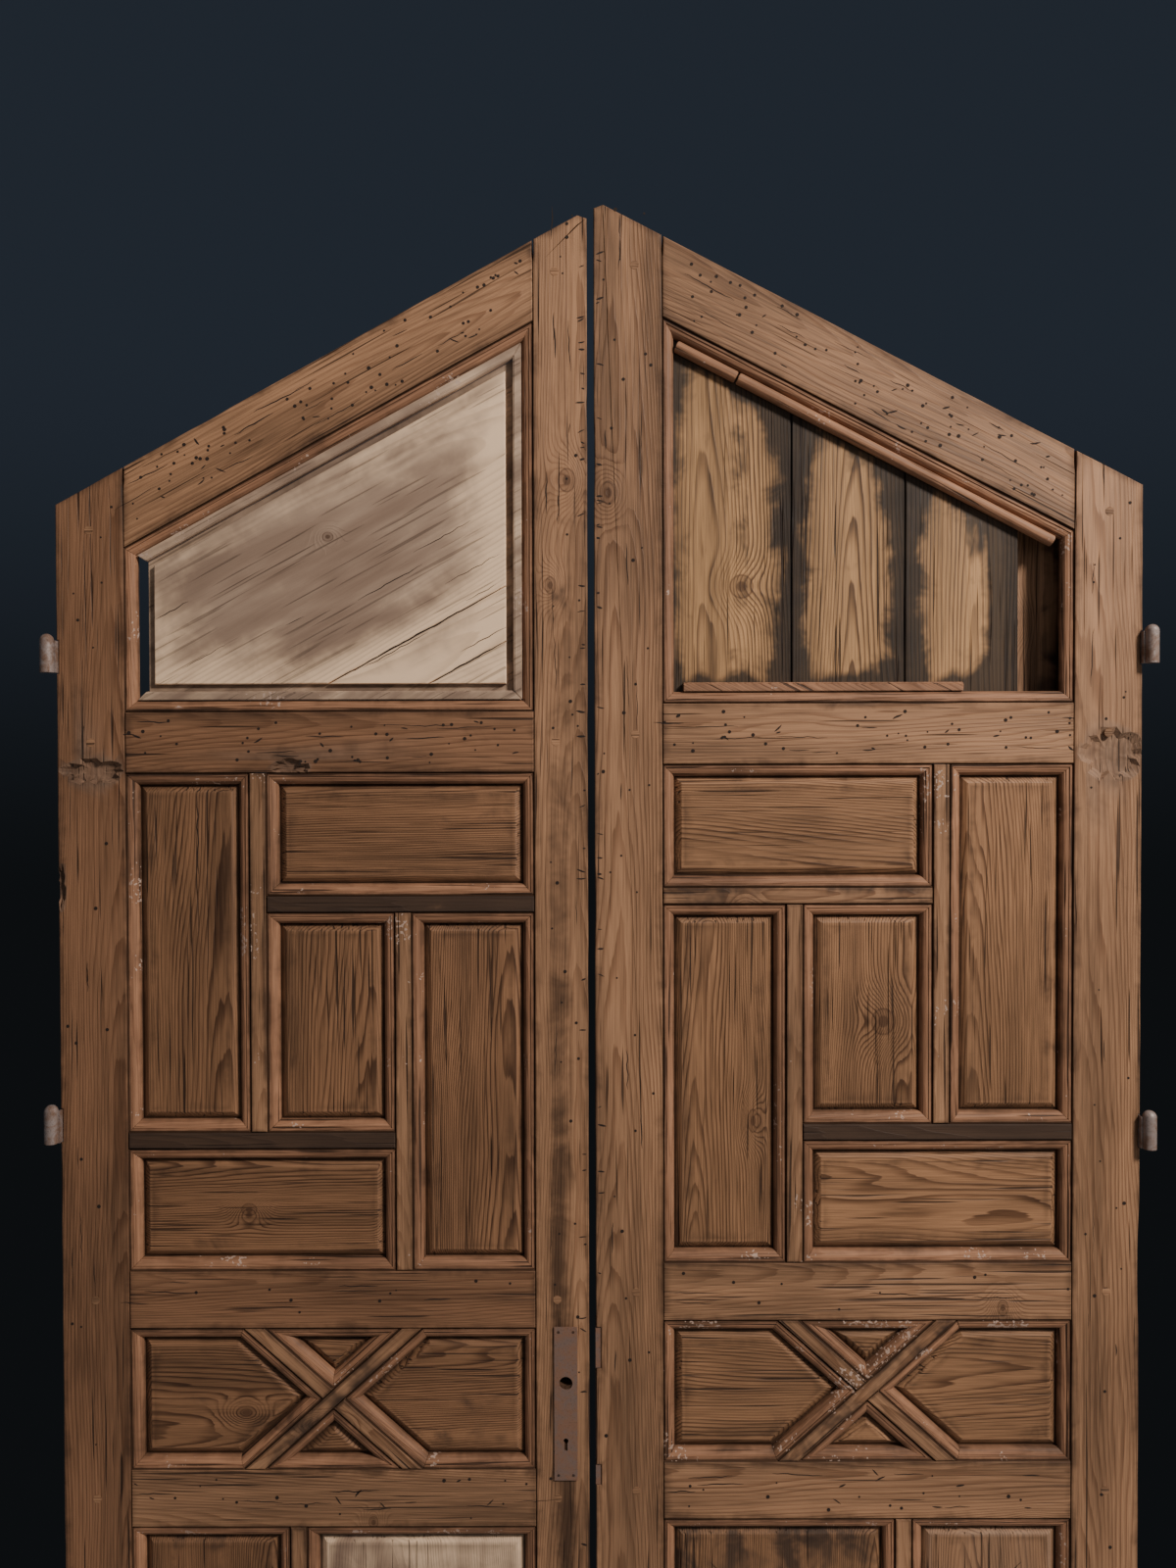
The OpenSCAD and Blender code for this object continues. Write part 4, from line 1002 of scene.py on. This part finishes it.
for side in SIDES:
    stiles_and_rails(side)
    muntins(side)
    cross_bars(side)
    panels_and_mouldings(side)
heads()

carried("left_head_beads", "left_leaf", bleached_pine, "bleached_pine", RAKE_LINE["left"],
        marks=(0.1, 0.55, 0, 0.3))
carried("right_head_beads", "right_leaf", mould_pine, "worn_pine", RAKE_LINE["right"],
        marks=(0.25, 0, 0.1, 0.2))
carried("rear_board", "right_leaf", old_pine, "dark_pine", UP, marks=(0.2, 0, 0.35, 0))
for side in SIDES:
    carried(side + "_hinge_halves", side + "_leaf", knuckle_iron, "forged_iron", bevel=0.0018)
for plate, leaf, bevel in (("lock_plate", "left_leaf", 0.0006), ("rear_lock_plate", "left_leaf", 0.0006),
                           ("strike_plate", "right_leaf", 0.0004), ("forend", "left_leaf", 0.0004)):
    carried(plate, leaf, plate_iron, "rusted_plate", bevel=bevel)
for side in SIDES:
    pegs = carried(side + "_pegs", side + "_leaf", old_pine, "dark_pine", ALONG, 0, (0.35, 0, 0.15, 0))
    for v in pegs.data.vertices:
        v.co.y *= 1.012
for name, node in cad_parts.items():
    if not node.hide_render:
        node.data.materials.clear()
        node.data.materials.append(dark_iron)


# ------------ nail holes and splits


def scatter_tree(name, radius, depth):
    """Sets a small irregular disc on every point of a mesh, in sizes that vary."""
    tree, n, given, out = group(
        name,
        [("Points", "Geometry"), ("Radius", "Float", radius), ("Smallest", "Float", 0.6),
         ("Largest", "Float", 1.35), ("Seed", "Int", 4), ("Finish", "Material")],
        [("Geometry", "Geometry")],
        "GeometryNodeTree",
    )
    disc = n.feed(n.put("GeometryNodeMeshCylinder", fill_type="NGON"), Vertices=9,
                  Radius=given["Radius"], Depth=depth)
    size = n.feed(n.put("FunctionNodeRandomValue", data_type="FLOAT"), Seed=given["Seed"])
    n.join(given["Smallest"], size.inputs[2])
    n.join(given["Largest"], size.inputs[3])
    put = n.feed(n.put("GeometryNodeInstanceOnPoints"), Points=given["Points"],
                 Instance=disc.outputs["Mesh"], Rotation=(math.pi / 2, 0, 0), Scale=size.outputs[1])
    real = n.feed(n.put("GeometryNodeRealizeInstances"), put.outputs[0])
    finish = n.feed(n.put("GeometryNodeSetMaterial"), Geometry=real.outputs[0], Material=given["Finish"])
    n.feed(out, finish.outputs[0])
    return tree


def scattered(name, places, tree, body, material, slot, **sizes):
    """One plain mesh of small discs at those places, riding on a leaf."""
    piece = body_of(name, places, [])
    modifier = piece.modifiers.new("scatter", "NODES")
    modifier.node_group = tree
    sockets = {s.name: s.identifier for s in tree.interface.items_tree if s.in_out == "INPUT"}
    for label, value in dict(sizes, Finish=material).items():
        modifier[sockets[label]] = value
    plain = applied(piece)
    piece.modifiers.clear()
    piece.data = plain
    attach(piece, body)


holes = scatter_tree("nail_hole_scatter", 0.0017, 0.0004)
rng = random.Random(20)


def on_board(node, count, margin=0.01):
    """Random places on a board's front face."""
    outline = solids(node)[0]["outline"]
    out = []
    x = [p.x for p in outline]
    z = [p.y for p in outline]
    sides = [(a, b) for a, b in pairs(outline) if (b - a).length > 0.08]
    for _ in range(count * 30):
        if len(out) == count:
            break
        q = Vector((rng.uniform(min(x), max(x)), rng.uniform(min(z), max(z))))
        if all((b - a).normalized().cross(q - a) > margin for a, b in sides):
            out.append((q.x, FACE_Y - 0.00005, q.y))
    return out


# The nail holes are dark discs on the face: painted shade standing in for the holes.
for side in SIDES:
    places = []
    for node, count in (("raking_rail", 70), ("frieze_rail", 40), ("hinge_stile", 30),
                        ("meeting_stile", 44), ("low_rail", 14), ("high_rail", 9)):
        places += on_board(f"{side}_{node}", count)
    scattered(side + "_nail_holes", places, holes, side + "_leaf", split_dark, "dark_pine", Seed=7)


def splits(name, body, lines, face=FACE_Y):
    """Drying splits and nail drags: thin dark slivers, each (x, z, length, degrees, width)."""
    points, faces = [], []
    for k, (x, z, length, degrees, width) in enumerate(lines):
        d = Vector((math.cos(math.radians(degrees)), math.sin(math.radians(degrees))))
        across = Vector((-d.y, d.x))
        steps = max(4, int(length / 0.006))
        base = len(points)
        for i in range(steps + 1):
            t = i / steps
            stray = across * (noise.noise(Vector((k * 9.1, t * length * 90, 0))) * 0.0016)
            q = Vector((x, z)) + d * (length * (t - 0.5)) + stray
            half = across * (width * 0.5 * math.sin(math.pi * min(1, t * 0.96 + 0.02)) ** 0.6)
            for y in (face - 0.00006, face + 0.0002):
                points.extend(((q.x - half.x, y, q.y - half.y), (q.x + half.x, y, q.y + half.y)))
        for i in range(steps):
            a, b = base + 4 * i, base + 4 * i + 4
            faces.extend(((a, b, b + 1, a + 1), (a + 2, a + 3, b + 3, b + 2),
                          (a, a + 2, b + 2, b), (a + 1, b + 1, b + 3, a + 3)))
        faces.extend(((base, base + 1, base + 3, base + 2),
                      (base + 4 * steps, base + 4 * steps + 2, base + 4 * steps + 3, base + 4 * steps + 1)))
    piece = body_of(name, points, faces)
    piece.data.materials.append(split_dark)
    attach(piece, body)


for side, sign in (("left", -1), ("right", 1)):
    lines = []
    for node, count, degrees in (("hinge_stile", 14, 90), ("meeting_stile", 14, 90),
                                 ("frieze_rail", 10, 0), ("low_rail", 8, 0), ("high_rail", 6, 0),
                                 ("raking_rail", 12, -sign * 28)):
        for x, _, z in on_board(f"{side}_{node}", count, 0.012):
            lines.append((x, z, rng.uniform(0.012, 0.07), degrees + rng.uniform(-3, 3),
                          rng.uniform(0.0006, 0.0016)))
    for node, count in (("low_rail", 7), ("frieze_rail", 8), ("raking_rail", 12)):
        for x, _, z in on_board(f"{side}_{node}", count, 0.012):
            lines.append((x, z, rng.uniform(0.005, 0.014), rng.uniform(-50, 50), rng.uniform(0.0014, 0.0026)))
    foot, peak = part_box(side + "_meeting_stile")
    edge = peak.x if side == "left" else foot.x
    for _ in range(46):
        reach = rng.uniform(0.003, 0.012)
        lines.append((edge + sign * (0.0032 + reach / 2), rng.uniform(foot.z + 0.05, peak.z - 0.05),
                      reach, rng.uniform(-25, 25), rng.uniform(0.0012, 0.0028)))
    splits(side + "_splits", side + "_leaf", lines)


def joints(node, least, most, hold_back):
    """Where two boards of a panel meet, as slivers on its raised field."""
    lines = []
    for s in solids(node):
        for a, b in pairs(s["outline"]):
            along = b - a
            turned = math.degrees(math.atan2(along.y, along.x)) % 180
            if least < min(turned, 180 - turned) < most and along.length > 2.5 * hold_back:
                middle = (a + b) / 2
                lines.append((middle.x, middle.y, along.length - 2 * hold_back, turned, 0.0012))
    return lines


for side in SIDES:
    lines = joints(side + "_lower_panels", 35, 55, 0.05)
    if side == "left":
        lines.append((-0.484, 1.695, 0.1, 90, 0.0016))
        boards = sorted(solids("left_head_boards"), key=lambda s: -abs(area(s["outline"])))
        corner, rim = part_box("left_head_boards")
        for board in boards[1:]:
            top = sorted(board["outline"], key=lambda p: p.y)[-1]
            ends = [p for p in board["outline"] if p.x < top.x - 0.03]
            if ends:
                start = min(ends, key=lambda p: p.x)
                run = top - start
                lines.append(((start.x + top.x) / 2, (start.y + top.y) / 2, run.length - 0.012,
                              math.degrees(math.atan2(run.y, run.x)), 0.0018))
        for _ in range(9):
            x = rng.uniform(corner.x + 0.06, rim.x - 0.06)
            z = corner.z + 0.03 + rng.uniform(0, 0.07 + 0.5 * (x - corner.x))
            lines.append((x, z, rng.uniform(0.02, 0.09), math.degrees(RAKE["left"]),
                          rng.uniform(0.0006, 0.0012)))
    splits(side + "_panel_splits", side + "_leaf", lines, FIELD_Y)


# ------------ camera, light and floor


def studio():
    scene = bpy.context.scene
    camera = bpy.data.cameras.new("camera")
    camera.sensor_fit = "VERTICAL"
    camera.sensor_height = 24.0
    camera.lens = 17.325
    eye = linked("camera", camera)
    turn = (Matrix.Rotation(0.0016, 4, "Z") @ Matrix.Rotation(math.pi / 2 - 0.0154, 4, "X")
            @ Matrix.Rotation(-0.0024, 4, "Z"))
    eye.matrix_world = Matrix.Translation((-0.0113, -1.3774, 1.7735)) @ turn
    scene.camera = eye

    def lamp(name, place, at, size, power, colour):
        light = bpy.data.lights.new(name, "AREA")
        light.shape, light.size = "DISK", size
        light.energy, light.color = power, colour
        o = linked(name, light)
        o.location = place
        o.rotation_euler = (Vector(at) - Vector(place)).to_track_quat("-Z", "Y").to_euler()

    lamp("key", (2.2, -2, 3.65), (0.1, 0, 1.7), 0.6, 140, (1, 0.93, 0.85))
    lamp("front", (0.4, -3.2, 2.6), (0, 0, 1.5), 1.6, 5, (1, 0.95, 0.9))

    world = bpy.data.worlds.new("studio")
    scene.world = world
    world.use_nodes = True
    n = Nodes(world.node_tree)
    world.node_tree.nodes.clear()
    soft = n.feed(n.put("ShaderNodeBackground"), (0.8, 0.86, 1, 1), 0.085)
    way = n.feed(n.put("ShaderNodeSeparateXYZ"), n.put("ShaderNodeTexCoord").outputs["Generated"])
    # The backdrop that the camera sees is darker towards the bottom: painted shade.
    backdrop_painted_shade = n.mix(n.between(way.outputs[2], -0.12, 0.34), (0.006, 0.007, 0.008, 1),
                 (0.019, 0.025, 0.035, 1))
    seen = n.feed(n.put("ShaderNodeBackground"), backdrop_painted_shade)
    chosen = n.feed(n.put("ShaderNodeMixShader"), n.put("ShaderNodeLightPath").outputs["Is Camera Ray"],
                    soft.outputs[0], seen.outputs[0])
    n.feed(n.put("ShaderNodeOutputWorld"), chosen.outputs[0])

    ground = body_of("floor", [(-3, -4, 0), (3, -4, 0), (3, 1, 0), (-3, 1, 0)], [(0, 1, 2, 3)])
    material, m, surface = fresh("pale_floor")
    m.feed(surface, Base_Color=(0.55, 0.55, 0.54, 1), Roughness=0.8)
    ground.data.materials.append(material)


studio()
